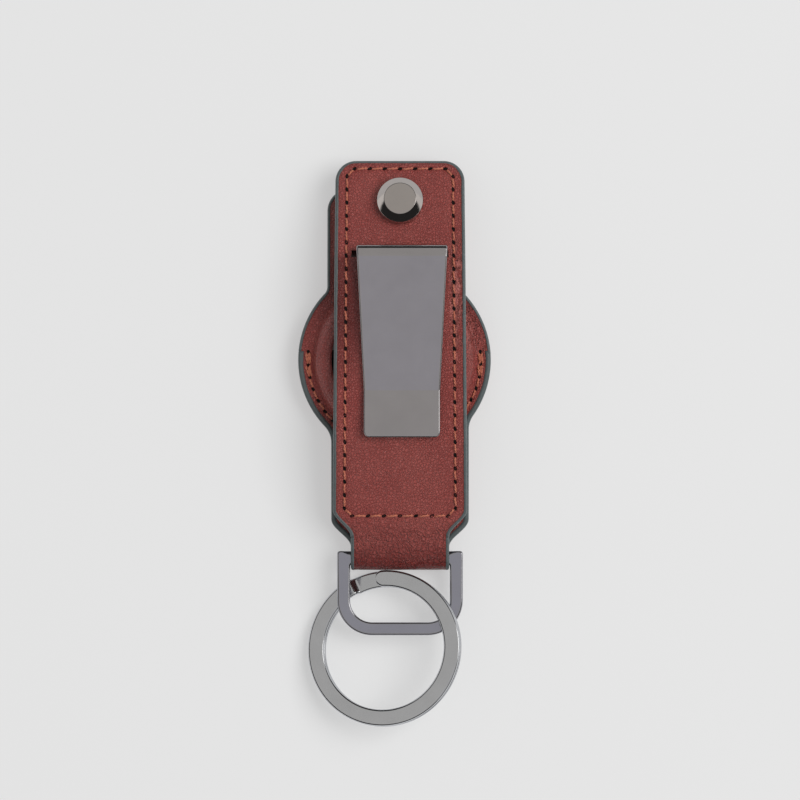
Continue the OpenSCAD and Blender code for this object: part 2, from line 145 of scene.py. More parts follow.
def closeGrid(upper, lower, columns):
    rows = len(upper) // columns
    return closeShell(upper, lower, gridFaces(rows, columns), [border(columns, 0, rows - 1, 0, columns - 1)])


def joined(shapes):
    points, faces = [], []
    for morePoints, moreFaces in shapes:
        faces += [tuple(i + len(points) for i in face) for face in moreFaces]
        points += morePoints
    return points, faces


def placed(place, points):
    return [tuple(place @ Vector(p)) for p in points]


def linked(name, data):
    obj = bpy.data.objects.new(name, data)
    scene.collection.objects.link(obj)
    return obj


mergeReach = 0.00001


def makePiece(name, shape, *materials, merge=True):
    mesh = bpy.data.meshes.new(name)
    mesh.from_pydata([Vector(p) * mm for p in shape[0]], [], shape[1])
    for material in materials:
        mesh.materials.append(material)
    if merge:
        bm = bmesh.new()
        bm.from_mesh(mesh)
        bmesh.ops.remove_doubles(bm, verts=bm.verts, dist=mergeReach)
        bmesh.ops.dissolve_degenerate(bm, edges=bm.edges, dist=mergeReach / 10)
        bmesh.ops.recalc_face_normals(bm, faces=bm.faces)
        bm.to_mesh(mesh)
        bm.free()
    mesh.polygons.foreach_set("use_smooth", [True] * len(mesh.polygons))
    mesh.update()
    return linked(name, mesh)


def creaseBy(obj, degrees):
    obj.data.set_sharp_from_angle(angle=math.radians(degrees))


# the body that a piece rides on, the angle past which its edges turn sharp and the solid that it stands for
def dress(obj, body, solid=None, sharp=None):
    if sharp:
        creaseBy(obj, sharp)
    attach(obj, body)
    if solid:
        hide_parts(solid)


# a value from 0 to 1 that fades from the edge of a piece inwards
def setRim(obj, line, reach):
    far = planDistance([v.co / mm for v in obj.data.vertices], line)
    rim = obj.data.attributes.new("rim", "FLOAT", "POINT")
    rim.data.foreach_set("value", np.clip(1 - far / reach, 0, 1).astype(np.float32))


# a node tree with short ways to add what the materials, the stitches and the studio use
class Tree:
    def __init__(self, tree):
        self.tree = tree

    def feed(self, socket, value):
        if isinstance(value, bpy.types.NodeSocket):
            self.tree.links.new(value, socket)
        else:
            socket.default_value = value

    def add(self, kind, inputs=None, **settings):
        node = self.tree.nodes.new(kind)
        for key, value in settings.items():
            setattr(node, key, value)
        for key, value in (inputs or {}).items():
            self.feed(node.inputs[key], value)
        return node

    def out(self, kind, inputs=None, **settings):
        return self.add(kind, inputs, **settings).outputs[0]

    def math(self, kind, a, b=0.0):
        return self.out("ShaderNodeMath", {0: a, 1: b}, operation=kind)

    def times(self, a, b):
        return self.math("MULTIPLY", a, b)

    def vector(self, kind, a, b):
        return self.out("ShaderNodeVectorMath", {0: a, 1: b}, operation=kind)

    def between(self, value, low, high, newLow=0.0, newHigh=1.0, **settings):
        ends = {"From Min": low, "From Max": high, "To Min": newLow, "To Max": newHigh}
        return self.out("ShaderNodeMapRange", {"Value": value, **ends}, **settings)

    def window(self, value, low, lowFull, high, highFull):
        return self.times(self.between(value, low, lowFull), self.between(value, high, highFull))

    def blend(self, factor, a, b):
        return self.add("ShaderNodeMix", {0: factor, 6: a, 7: b}, data_type="RGBA").outputs[2]


class Finish(Tree):
    def __init__(self, name):
        self.material = bpy.data.materials.new(name)
        self.material.use_nodes = True
        super().__init__(self.material.node_tree)
        self.place = self.add("ShaderNodeTexCoord").outputs["Object"]
        self.inMm = self.scaled((1000, 1000, 1000))

    def scaled(self, scale, turn=(0, 0, 0)):
        return self.out("ShaderNodeMapping", {"Vector": self.place, "Scale": scale, "Rotation": turn})

    def noise(self, place, scale, detail=3.0, rough=0.55, distortion=0.0):
        inputs = {"Vector": place, "Scale": scale, "Detail": detail, "Roughness": rough}
        return self.add("ShaderNodeTexNoise", {**inputs, "Distortion": distortion}).outputs["Fac"]

    def cells(self, place, scale, low, high, feature="F1"):
        texture = self.add("ShaderNodeTexVoronoi", {"Vector": place, "Scale": scale}, feature=feature)
        return self.between(texture.outputs["Distance"], low, high)

    # a line where a noise crosses its middle
    def line(self, noise, reach, onLine=0.0, offLine=1.0):
        offMiddle = self.math("ABSOLUTE", self.math("SUBTRACT", noise, 0.5))
        return self.between(offMiddle, 0.0, reach, onLine, offLine)

    def bump(self, height, strength, distance, below=None):
        inputs = {"Height": height, "Strength": strength, "Distance": distance}
        return self.out("ShaderNodeBump", inputs if below is None else {**inputs, "Normal": below})

    def attribute(self, name):
        return self.add("ShaderNodeAttribute", attribute_name=name).outputs["Fac"]

    def shade(self, **sockets):
        for key, value in sockets.items():
            self.feed(self.tree.nodes["Principled BSDF"].inputs[key.replace("_", " ")], value)
        return self.material


def tone(*levels):
    shares = [((c / 255 + 0.055) / 1.055) ** 2.4 if c > 10 else c / 255 / 12.92 for c in levels]
    return (*shares, 1.0)


# tones, grain sizes and places in millimetres: where the leather is folded and handled; the fold and the band
# left of the clip get painted shade, the creases painted highlights
leatherLook = {
    "base": (155, 70, 65), "deep": (90, 30, 28), "light": (164, 79, 73), "creaseHighlight": (218, 142, 132),
    "foldShade": (98, 17, 13), "grain": 1.75, "coarseGrain": 1.05, "pore": 1.7, "depth": 0.00014,
    "rough": (0.25, 0.38), "fold": (-38.2, -42.0), "pulled": (7.0, 2.0), "handledX": (9.6, 11.4),
    "handledY": (-2.0, 4.0, 27.0, 22.0), "creaseHighlightX": (15.5, 11.5), "shadeLeftOfClipX": (-8.0, -9.2, -14.8, -13.2),
    "shadeLeftOfClipY": (-7.0, 7.0, 22.6, 20.4), "foldShadeShare": 0.7, "rimShare": 0.55, "coarseHeight": 3.2}
liningLook = {
    **leatherLook, "base": (88, 42, 40), "deep": (58, 24, 23), "light": (100, 52, 48),
    "creaseHighlight": (100, 52, 48), "foldShade": (58, 24, 23), "grain": 3.4, "depth": 0.00003, "rough": (0.5, 0.66),
    "fold": (-60.0, -70.0)}
# dark tones painted inside the pocket as shade
pocketShadeLook = {
    **leatherLook, "base": (40, 30, 32), "deep": (22, 16, 18), "light": (48, 38, 40),
    "creaseHighlight": (48, 38, 40), "depth": 0.00003}


# pebbled grain, pores and creases; coarse at the fold; painted shade on the fold and left of the clip, painted
# highlights on the creases right of it
def makeLeather(name, look):
    n = Finish(name)
    x, y = n.add("ShaderNodeSeparateXYZ", {0: n.inMm}).outputs[:2]
    warped = n.vector("ADD", n.inMm, n.noise(n.inMm, 0.9, 2.0))
    pebble = n.cells(warped, look["grain"], 0.0, 0.22, "DISTANCE_TO_EDGE")
    coarse = n.cells(warped, look["coarseGrain"], 0.0, 0.3, "DISTANCE_TO_EDGE")
    pores = n.cells(n.inMm, look["pore"], 0.05, 0.17)
    crease = n.noise(n.scaled((1500, 420, 900), (0, 0, 0.35)), 0.8, 4.0, 0.6, 0.6)
    patch = n.noise(n.inMm, 0.11, 3.0)
    # painted shade: mask of the fold, which gets a darker, redder tone
    foldShade = n.between(y, *look["fold"])
    pulled = n.between(y, *(look["fold"][0] + past for past in look["pulled"]))
    handled = n.times(n.between(x, *look["handledX"]), n.window(y, *look["handledY"]))
    # painted highlight: mask of the crease peaks right of the clip that get a pale tone
    creaseHighlight = n.times(handled, n.between(x, *look["creaseHighlightX"], 0.1, 1.0))
    # painted shade: mask of the band left of the clip where the clip's shadow is painted
    shadeLeftOfClip = n.times(n.window(x, *look["shadeLeftOfClipX"]), n.window(y, *look["shadeLeftOfClipY"]))
    colour = n.blend(n.between(patch, 0.36, 0.66), tone(*look["base"]), tone(*look["light"]))
    layers = ((n.between(pebble, 0.0, 1.0, 0.34, 0.0), "deep"),
              (n.between(pores, 0.0, 1.0, 0.3, 0.0), "deep"),
              (n.times(n.attribute("rim"), look["rimShare"]), "deep"),
              # painted shade: a darker, redder tone where the leather curves away round the fold
              (n.times(foldShade, look["foldShadeShare"]), "foldShade"),
              # painted shade: the clip's shadow painted on the leather left of it
              (n.times(shadeLeftOfClip, n.between(patch, 0.3, 0.7, 0.66, 0.84)), "deep"),
              # painted highlight: a pale tone on the crease peaks right of the clip
              (n.times(creaseHighlight, n.between(crease, 0.4, 0.62, 0.0, 0.42)), "creaseHighlight"))
    for share, shade in layers:
        colour = n.blend(share, colour, tone(*look[shade]))
    height = n.math("ADD", pebble, n.times(n.noise(n.inMm, 7.0, 5.0), 0.3))
    height = n.math("ADD", height, n.times(pores, 0.6))
    height = n.math("ADD", height, n.times(n.times(coarse, pulled), look["coarseHeight"]))
    normal = n.bump(n.line(crease, 0.035), n.between(handled, 0.0, 1.0, 0.3, 1.0), look["depth"] * 2)
    normal = n.bump(height, 0.9, look["depth"], normal)
    rough = n.between(n.noise(n.inMm, 0.5, 4.0), 0.3, 0.7, *look["rough"])
    return n.shade(Base_Color=colour, Normal=normal, Roughness=rough, Specular_IOR_Level=0.5,
                   Sheen_Weight=0.03, Sheen_Roughness=0.4, Coat_Weight=0.22, Coat_Roughness=0.13)


metalLooks = {
    "clip plating": {"tint": (168, 165, 167), "rough": (0.1, 0.16), "grain": (60, 900, 900)},
    "key ring plating": {"tint": (195, 197, 201), "rough": (0.1, 0.17), "grain": (700, 700, 90)},
    "D-ring plating": {"tint": (163, 163, 169), "rough": (0.1, 0.17), "grain": (90, 700, 700)},
    "snap cap plating": {"tint": (178, 172, 169), "rough": (0.05, 0.09), "grain": (500, 500, 500)},
    "snap steel": {"tint": (186, 187, 190), "rough": (0.2, 0.3), "grain": (500, 500, 500)}}


# plated metal: faint drawn lines, soft cloudiness, a few hairline scratches
def makeMetal(name):
    look = metalLooks[name]
    n = Finish(name)
    lines = n.noise(n.scaled(look["grain"]), 4.0, 4.0, 0.6)
    scratch = n.noise(n.scaled((150, 2600, 2600), (0.2, 0.1, 0.6)), 1.0, 2.0, 0.4, 0.3)
    mark = n.line(scratch, 0.006, 1.0, 0.0)
    darker, paler = ((*(min(1.0, c * share) for c in tone(*look["tint"])[:3]), 1.0) for share in (0.96, 1.03))
    rough = n.math("ADD", n.between(lines, 0.3, 0.7, *look["rough"]), n.times(mark, 0.05))
    normal = n.bump(mark, 0.08, 0.00001, n.bump(lines, 0.05, 0.00001))
    colour = n.blend(n.between(n.noise(n.inMm, 0.16), 0.3, 0.7), darker, paler)
    return n.shade(Base_Color=colour, Roughness=rough, Normal=normal, Metallic=1.0)


# sealed edge: brushed-on paint with a soft uneven crown
def makeEdgePaint():
    n = Finish("edge paint")
    lumps, speck = n.noise(n.inMm, 0.9), n.noise(n.inMm, 8.0, 4.0)
    colour = n.blend(n.between(lumps, 0.3, 0.7), tone(81, 89, 90), tone(90, 98, 99))
    normal = n.bump(n.math("ADD", lumps, n.times(speck, 0.2)), 0.2, 0.00003)
    rough = n.between(speck, 0.3, 0.7, 0.3, 0.46)
    return n.shade(Base_Color=colour, Normal=normal, Roughness=rough, Specular_IOR_Level=0.5)


# waxed thread, board and the painted shade in the holes: two tones of fine flecks
def makeFlecked(name, light, dark, scale, detail, depth, rough, **more):
    n = Finish(name)
    fleck = n.noise(n.inMm, scale, detail)
    return n.shade(Base_Color=n.blend(n.between(fleck, 0.3, 0.7), tone(*dark), tone(*light)),
                   Normal=n.bump(fleck, 0.6, depth), Roughness=n.between(fleck, 0.3, 0.7, *rough), **more)


outerLeather = makeLeather("outer leather", leatherLook)
liningLeather = makeLeather("lining leather", liningLook)
pocketShade = makeLeather("pocket painted shade", pocketShadeLook)
boardPaper = makeFlecked("stiffening board", (92, 78, 66), (64, 54, 46), 3.0, 5.0, 0.00004, (0.7, 0.9))
edgePaint = makeEdgePaint()
topThread = makeFlecked("waxed thread", (226, 140, 112), (164, 88, 68), 9.0, 3.0, 0.00003, (0.45, 0.62),
                        Sheen_Weight=0.25, Sheen_Roughness=0.35)
holeShade = makeFlecked("awl hole shade", (14, 3, 3), (4, 1, 1), 6.0, 5.0, 0.00002, (0.7, 0.9))
clipMetal, ringMetal, deeMetal, capMetal, snapSteel = (makeMetal(name) for name in metalLooks)
print("materials made")


# straps: plan sizes, and the layers of the front one
strap = {
    "top": 41.4, "topWidth": 26.7, "lowWidth": 27.8, "corner": 4.2, "shoulder": -34.0,
    "shoulderLength": 5.8, "neckWidth": 20.3, "skin": 1.1, "core": 0.8, "lining": 1.0, "underside": 10.15,
    "levelHalf": 14.0, "bendLength": 6.0, "topFall": 0.24562, "lowFall": 0.22706, "edgeRadius": 0.34,
    "boardInset": 0.12}
rear = {
    "seam": 4.7, "discRadius": 20.0, "discX": -1.15, "topFall": 0.24562, "lowRise": 0.05912, "panel": 1.0,
    "tabTop": 35.7, "tabWidth": 28.2, "tabX": -0.95, "tabCorner": 4.5, "tabFillet": 2.2, "lowWidth": 28.5,
    "lowFillet": 5.0, "shoulder": -36.1, "footRadius": 16.85, "tagRadius": 16.05, "windowRadius": 13.1,
    "baseRadius": 13.0, "height": 9.4, "mouth": 2.1, "softening": 1.5, "footRun": 0.7, "footRise": 0.32,
    "footFall": 0.3, "lipRun": 0.25, "lipDip": 0.22, "lipSwell": 0.12, "edgeRadius": 0.3}
bar = {"y": -41.2, "z": 4.95, "sleeve": 1.5036}
skinLift = strap["lining"] + strap["core"]
strapThick = skinLift + strap["skin"]
neckEnd = strap["shoulder"] - strap["shoulderLength"] / 2
shoulderTop = strap["shoulder"] + strap["shoulderLength"] / 2
rearNeckEnd = rear["shoulder"] - strap["shoulderLength"] / 2
rearShoulderTop = rear["shoulder"] + strap["shoulderLength"] / 2


# height lost along a strap past the start of a bend
def fallPast(run, slope):
    if run <= 0:
        return 0.0
    if run < strap["bendLength"]:
        return slope * run * run / (2 * strap["bendLength"])
    return slope * (run - strap["bendLength"] / 2)


def pastBend(run, slope):
    soft = rear["softening"]
    if run <= -soft:
        return 0.0
    return slope * run if run >= soft else slope * (run + soft) ** 2 / (4 * soft)


def underside(y):
    slope = strap["topFall" if y > 0 else "lowFall"]
    return strap["underside"] - fallPast(abs(y) - strap["levelHalf"], slope)


def frontTop(y):
    return underside(y) + strapThick


def seamHeight(y):
    above = pastBend(y - rear["discRadius"], rear["topFall"])
    below = pastBend(-y - rear["discRadius"], rear["lowRise"])
    return rear["seam"] - above - below


def panelTop(y):
    return seamHeight(y) + rear["panel"]


def pocketLow(y):
    return seamHeight(y) - strap["skin"]


def shoulderHalf(y, middle, wide):
    share = max(0.0, min(1.0, (y - middle) / strap["shoulderLength"] + 0.5))
    return mix(strap["neckWidth"] / 2, wide / 2, (1 - math.cos(math.pi * share)) / 2)


def strapHalf(y):
    cornerY = strap["top"] - strap["corner"]
    if y > cornerY:
        up = min(strap["corner"], y - cornerY)
        return strap["topWidth"] / 2 - strap["corner"] + math.sqrt(strap["corner"] ** 2 - up ** 2)
    if y > shoulderTop:
        return mix(strap["lowWidth"], strap["topWidth"], (y - shoulderTop) / (cornerY - shoulderTop)) / 2
    return shoulderHalf(y, strap["shoulder"], strap["lowWidth"])


# stitch holes, in the order in which the thread runs
stitch = {
    "pitch": 2.75, "crossPitch": 3.1, "inset": 2.35, "thread": 0.4, "rise": 0.2, "sink": 0.4,
    "turns": 1.4, "slant": 0.1, "shown": 0.72, "seed": 4, "ply": 0.27, "strand": 0.31, "lockWidth": 0.4,
    "lockReach": 0.14, "dip": 0.26, "dipReach": 0.5, "rowDip": 0.06, "rowReach": 0.7}
hole = {
    "length": 0.5, "width": 0.3, "slant": 0.35, "around": 12, "levels": ((1.0, 0.09), (0.6, 0.18)),
    "deeper": (0.02, 0.1)}
rowCut = stitch["inset"] * 2 / 3
seamRadius = (rear["footRadius"] + rear["discRadius"]) / 2 - stitch["thread"]
seamX = rear["lowWidth"] / 2 - stitch["inset"]


def frontHoles():
    topY, lowY = strap["top"] - rowCut, strap["shoulder"] + rowCut
    sideTop, sideLow = topY - rowCut, lowY + rowCut
    topX = strapHalf(sideTop - strap["corner"]) - stitch["inset"]
    lowX = strapHalf(sideLow) - stitch["inset"]
    return (evenly((-lowX, sideLow), (-topX, sideTop), stitch["pitch"])
            + evenly((-topX + rowCut, topY), (topX - rowCut, topY), stitch["crossPitch"])
            + evenly((topX, sideTop), (lowX, sideLow), stitch["pitch"])
            + evenly((lowX - rowCut, lowY), (-lowX + rowCut, lowY), stitch["crossPitch"]) + [(-lowX, sideLow)])


def pocketSide(side):
    start = math.asin((rear["mouth"] - stitch["thread"]) / seamRadius)
    end = -math.acos((seamX - side * rear["discX"]) / seamRadius)
    count = round((start - end) * seamRadius / stitch["pitch"])
    bend = arc(rear["discX"], 0, seamRadius, start, end, count, side)
    turn, low = (side * seamX, seamRadius * math.sin(end)), (side * seamX, rearShoulderTop)
    return bend + [p for p in evenly(turn, low, stitch["pitch"]) if p[1] < turn[1]]


def pocketHoles():
    lowY = rear["shoulder"] + rowCut
    across = evenly((-seamX + rowCut, lowY), (seamX - rowCut, lowY), stitch["pitch"])
    return pocketSide(-1) + across + pocketSide(1)[::-1]


frontLine = frontHoles()
pocketLine = pocketHoles()


# leather is pulled down at each hole and a little along the row
def stitchDips(points, line):
    p = np.array([(q[0], q[1]) for q in points], float)
    nearest = np.min([np.linalg.norm(p - np.array(place), axis=1) for place in line], axis=0)
    row = planDistance(points, line)
    atHoles = stitch["dip"] * np.exp(-(nearest / stitch["dipReach"]) ** 2)
    return atHoles + stitch["rowDip"] * np.exp(-(row / stitch["rowReach"]) ** 2)


# front strap: rows and columns of points lie close together where an edge turns
sideSteps = (0.0, 0.04, 0.12, 0.22, 0.34, 0.55, 0.9, 1.35, 1.7, 1.95, 2.15, 2.35, 2.55, 2.75, 3.0, 3.4)
topSteps = (0, 0.04, 0.12, 0.22, 0.34, 0.5, 0.75, 1.05, 1.3, 1.5, 1.65, 1.85, 2.1, 2.5, 3.0, 3.6, 4.2)
slit = {"low": 21.35, "high": 22.75, "left": -10.15, "right": 10.2, "clear": 0.2}
grid = {"row": 0.5, "lastRow": 0.3, "across": 42, "rimReach": 1.1, "reliefRun": 1.5}


def strapRows():
    rows = [strap["top"] - d for d in topSteps]
    while rows[-1] - grid["row"] > neckEnd + grid["lastRow"]:
        rows.append(rows[-1] - grid["row"])
    rows.append(neckEnd)
    ends = [slit["low"], slit["high"]]
    return sorted([y for y in rows if min(abs(y - end) for end in ends) > slit["clear"]] + ends)


cornerX, cornerY = strap["topWidth"] / 2 - strap["corner"], strap["top"] - strap["corner"]
strapSide = [(strapHalf(y), y) for y in spread(neckEnd, cornerY, 150)]
strapSide += arc(cornerX, cornerY, strap["corner"], 0.06, quarterTurn, 14)
strapOutline = strapSide + [(-x, y) for x, y in strapSide[::-1]]

# draws: x, y, length, width, lean and height of each wrinkle, close to the clip and all over
wrinkleRanges = ((70, ((10.3, 12.9), (1.0, 23.5), (0.5, 1.3), (0.16, 0.3), (-0.5, 1.0), (-0.055, 0.05))),
                 (90, ((-12.4, 12.4), (-33.0, 39.0), (0.6, 2.0), (0.2, 0.4), (-1.4, 1.4), (-0.018, 0.012))))
wrinkles = [[dice.uniform(*ends) for ends in ranges] for count, ranges in wrinkleRanges for _ in range(count)]
relief = {
    "plate": 0.07, "plateX": 0.4, "plateHalf": 10.4, "plateLow": 0.4, "plateTop": 25.2, "fold": 0.05,
    "foldWaves": 5.2, "foldWidth": 0.9, "near": 4.0, "slack": 0.02,
    "folds": ((11.6, 20.5, 3.2, 0.5), (11.2, 15.0, 4.0, 0.35), (11.9, 9.5, 3.0, 0.6), (-11.0, 26.5, 2.4, -0.5))}


def turnedBy(x, y, lean):
    return x * math.sin(lean) + y * math.cos(lean), x * math.cos(lean) - y * math.sin(lean)


# shallow folds beside the clip, a swell over the buried plate and the slack of pressed leather
def skinRelief(x, y):
    plate = smoothStep((relief["plateHalf"] - abs(x - relief["plateX"])) / 1.6)
    plate *= smoothStep((y - relief["plateLow"]) / 2.0) * smoothStep((relief["plateTop"] - y) / 1.6)
    slack = math.sin(x * 0.9 + y * 0.31) * math.cos(y * 0.55 - x * 0.2)
    height = relief["plate"] * plate + relief["slack"] * slack
    for cx, cy, length, lean in relief["folds"]:
        along, across = turnedBy(x - cx, y - cy, lean)
        wave = math.cos(across * relief["foldWaves"])
        height += relief["fold"] * wave * bell(along, length) * bell(across, relief["foldWidth"])
    for cx, cy, length, wide, lean, deep in wrinkles:
        if abs(x - cx) + abs(y - cy) < relief["near"]:
            along, across = turnedBy(x - cx, y - cy, lean)
            height += deep * bell(along, length) * bell(across, wide)
    return height


def strapLayer(name, lift, thick, material, faceUp=False, faceDown=False, inset=0.0, cut=False):
    rows, points = strapRows(), []
    for y in rows:
        left = [d + inset - strapHalf(y) for d in sideSteps]
        middle = spread(left[-1], -left[-1], grid["across"])[1:-1]
        points += [(x, y) for x in left + middle + [-x for x in left[::-1]]]
    columns = len(points) // len(rows)
    dips = stitchDips(points, frontLine) if faceUp or faceDown else [0.0] * len(points)
    upper, lower = [], []
    for (x, y), far, dip in zip(points, planDistance(points, strapOutline), dips):
        low, inside = underside(y) + lift, max(0.0, far - inset)
        drop = edgeDrop(inside, strap["edgeRadius"]) + dip
        raised = skinRelief(x, y) * min(1, inside / grid["reliefRun"]) - drop if faceUp else 0.0
        upper.append((x, y, low + thick + raised))
        lower.append((x, y, low + (drop if faceDown else 0.0)))
    skip, loops = set(), [border(columns, 0, len(rows) - 1, 0, columns - 1)]
    if cut:
        low, high = rows.index(slit["low"]), rows.index(slit["high"])
        places = np.array([x for x, y in points[low * columns:(low + 1) * columns]])
        first, last = (int(np.abs(places - slit[end]).argmin()) for end in ("left", "right"))
        skip = {(r, c) for r in range(low, high) for c in range(first, last)}
        loops.append(border(columns, low, high, first, last))
    obj = makePiece(name, closeShell(upper, lower, gridFaces(len(rows), columns, skip=skip), loops), material)
    setRim(obj, strapOutline, grid["rimReach"])
    return obj


strapSharp = 55
frontSkin = strapLayer("front_strap_leather", skinLift, strap["skin"], outerLeather, faceUp=True, cut=True)
dress(frontSkin, "front_strap", "front_strap_skin", strapSharp)
frontBoard = strapLayer("front_strap_board", strap["lining"], strap["core"], boardPaper,
                        inset=strap["boardInset"], cut=True)
dress(frontBoard, "front_strap", "front_strap_core", strapSharp)
frontLining = strapLayer("front_strap_lining_leather", 0.0, strap["lining"], liningLeather, faceDown=True)
dress(frontLining, "front_strap", "front_strap_lining", strapSharp)
print("front strap made")


# edge paint: a crowned bead along a plan line, from lowZ(y) to highZ(y)
paint = {"over": 0.6, "proud": 0.1, "lift": 0.09, "rearMore": 0.4, "upperMore": -0.1, "seamGap": 0.015}


def paintBead(line, lowZ, highZ, wide=0.0):
    points = []
    lift, proud = paint["lift"], paint["proud"]
    for i, (x, y) in enumerate(line):
        tx, ty = directionAt(line, i)
        low, high = lowZ(y), highZ(y)
        tall = high - low
        over = paint["over"] + wide + 0.02 * math.sin(i * 0.7) + 0.015 * math.sin(i * 0.23 + 1)
        profile = [(-over, high - 0.05), (-over + 0.04, high + lift), (-over * 0.4, high + lift),
                   (-0.08, high - 0.02), (0.04, high - 0.2), (proud, high - tall * 0.3),
                   (proud * 1.1, low + tall / 2), (proud, low + tall * 0.3), (0.02, low + 0.25),
                   (-0.08, low + 0.02), (-over * 0.4, low - lift), (-over + 0.04, low - lift),
                   (-over, low + 0.05), (-over * 1.1, low + tall / 2)]
        points += [(x + ty * out, y - tx * out, z) for out, z in profile]
    return points, tubeFaces(len(line), len(points) // len(line))


frontEdge = makePiece("front_strap_edge_paint", paintBead(strapOutline, underside, frontTop), edgePaint)
dress(frontEdge, "front_strap")

# rear strap: its outline runs up the right side from the neck to the tab and back down the left
outlineStep = 0.55


def discFillet(edge, side, up, radius):
    reach = edge + side * radius - rear["discX"]
    rise = math.sqrt((rear["discRadius"] + radius) ** 2 - reach ** 2)
    turn = math.atan2(rise, abs(reach))
    return arc(edge + side * radius, up * rise, radius, 0, turn, 8, -side, -up)


# round the disc on one side only
def discArc(a, b, side):
    start, end = (math.atan2(y, side * (x - rear["discX"])) for x, y in (a, b))
    count = max(2, round(abs(end - start) * rear["discRadius"] / outlineStep))
    return arc(rear["discX"], 0, rear["discRadius"], start, end, count, side)


def rearSide(side, withTab):
    low = [(side * shoulderHalf(y, rear["shoulder"], rear["lowWidth"]), y)
           for y in spread(rearNeckEnd, rearShoulderTop, 14)]
    lowArc = discFillet(side * rear["lowWidth"] / 2, side, -1, rear["lowFillet"])
    line = low + evenly(low[-1], lowArc[0], outlineStep)[1:] + lowArc[1:]
    if withTab:
        edge, r = side * rear["tabWidth"] / 2 + rear["tabX"], rear["tabCorner"]
        topArc = discFillet(edge, side, 1, rear["tabFillet"])
        line += discArc(lowArc[-1], topArc[-1], side)[1:] + topArc[::-1][1:]
        line += evenly(topArc[0], (edge, rear["tabTop"] - r), outlineStep)[1:]
        line += arc(edge - side * r, rear["tabTop"] - r, r, 0, quarterTurn, 14, side)[1:]
    return line


rightLine, leftLine = rearSide(1, True), rearSide(-1, True)
rearOutline = rightLine + evenly(rightLine[-1], leftLine[-1], outlineStep)[1:-1] + leftLine[::-1]
rightLow, leftLow = rearSide(1, False), rearSide(-1, False)
discStart, discEnd = (math.atan2(y, x - rear["discX"]) for x, y in (rightLow[-1], leftLow[-1]))
wholeDisc = arc(rear["discX"], 0, rear["discRadius"], discStart, discEnd + 2 * math.pi, 150)
pocketOutline = rightLow + wholeDisc[1:-1] + leftLow[::-1]
neckHalf = strap["neckWidth"] / 2
rearNeck = evenly((-neckHalf, rearNeckEnd), (neckHalf, rearNeckEnd), outlineStep)[1:-1]


# spokes from the disc's centre through every outline point; the shell sewn on its upper face has a window
def spokeShell(outline, radii, topZ, lowZ, faceUp):
    loop, edges, inner = outline + rearNeck, (0.55, 0.34, 0.22, 0.12, 0.04, 0.0), 12
    count, discX = len(loop), rear["discX"]
    points = []
    for k in range(len(radii) + inner + len(edges)):
        for x, y in loop:
            reach, past = math.hypot(x - discX, y), k - len(radii)
            if past < 0:
                r = radii[k]
            elif past < inner:
                r = mix(radii[-1], reach - edges[0] - 0.1, (past + 1) / inner)
            else:
                r = reach - edges[past - inner]
            points.append((discX + (x - discX) * r / reach, y * r / reach))
    upper, lower = [], []
    for (x, y), far, dip in zip(points, planDistance(points, outline), stitchDips(points, pocketLine)):
        r, drop = math.hypot(x - discX, y), edgeDrop(far, rear["edgeRadius"]) + dip
        upper.append((x, y, topZ(r, y) - (drop if faceUp else 0.0)))
        lower.append((x, y, lowZ(r, y) + (0.0 if faceUp else drop)))
    size, inmost = len(points), list(range(count))
    loops = [list(range(size - count, size))] + ([inmost] if faceUp else [])
    points, faces = closeShell(upper, lower, gridFaces(size // count, count, False, True), loops)
    if not faceUp:
        hub = len(points)
        points += [(discX, 0, topZ(0, 0)), (discX, 0, lowZ(0, 0))]
        for a in inmost:
            b = (a + 1) % count
            faces += [(a, b, hub), (b + size, a + size, hub + 1)]
    return points, faces


domeRise = rear["height"] - rear["seam"] - rear["panel"]
bowlDepth = rear["seam"] - strap["skin"]


def quarter(r, inner, outer):
    t = (r - inner) / (outer - inner)
    return math.sqrt(max(0.0, 1 - t * t)) if t > 0 else 1.0


def footFillet(r):
    return max(0.0, 1 - (r - rear["footRadius"]) / rear["footRun"]) ** 2


def rearTop(r, y):
    if r >= rear["footRadius"]:
        return panelTop(y) + rear["footRise"] * footFillet(r)
    dome = domeRise * quarter(r, rear["windowRadius"], rear["footRadius"])
    lip = rear["lipDip"] * bell(r - rear["windowRadius"], rear["lipRun"])
    return rear["seam"] + rear["panel"] + max(dome, rear["footRise"]) - lip


def rearUnder(r, y):
    if r >= rear["tagRadius"]:
        return seamHeight(y)
    dome = domeRise * quarter(r, rear["windowRadius"], rear["tagRadius"])
    return rear["seam"] + dome + rear["lipSwell"] * bell(r - rear["windowRadius"], rear["lipRun"])


def pocketTop(r, y):
    if r >= rear["tagRadius"]:
        return seamHeight(y)
    return rear["seam"] - bowlDepth * quarter(r, rear["baseRadius"], rear["tagRadius"])


def pocketUnder(r, y):
    if r >= rear["footRadius"]:
        return pocketLow(y) - rear["footFall"] * footFillet(r)
    fall = bowlDepth * quarter(r, rear["baseRadius"], rear["footRadius"])
    return bowlDepth - max(fall, rear["footFall"])


# radii close together where the dome and the bowl turn
domeRadii = [
    13.1, 13.14, 13.2, 13.3, 13.42, 13.6, 14.0, 14.5, 15.0, 15.4, 15.75, 16.0, 16.05, 16.25, 16.45, 16.6,
    16.72, 16.8, 16.85, 16.98, 17.15, 17.4]
bowlRadii = [
    3.0, 6.0, 9.0, 11.0, 12.3, 13.0, 13.6, 14.2, 14.8, 15.3, 15.7, 15.95, 16.05, 16.3, 16.5, 16.65, 16.76,
    16.85, 17.0, 17.2, 17.4]
pocketRim = 1.0
cutReach = 0.000002
panelMaterials = (outerLeather, edgePaint, pocketShade)


# painted shade: the pocket's inner faces get a dark tone
def darkInside(obj, up):
    for face in obj.data.polygons:
        place = face.center / mm
        if face.normal.z * up > 0.02 and math.hypot(place.x - rear["discX"], place.y) < rear["tagRadius"]:
            face.material_index = panelMaterials.index(pocketShade)


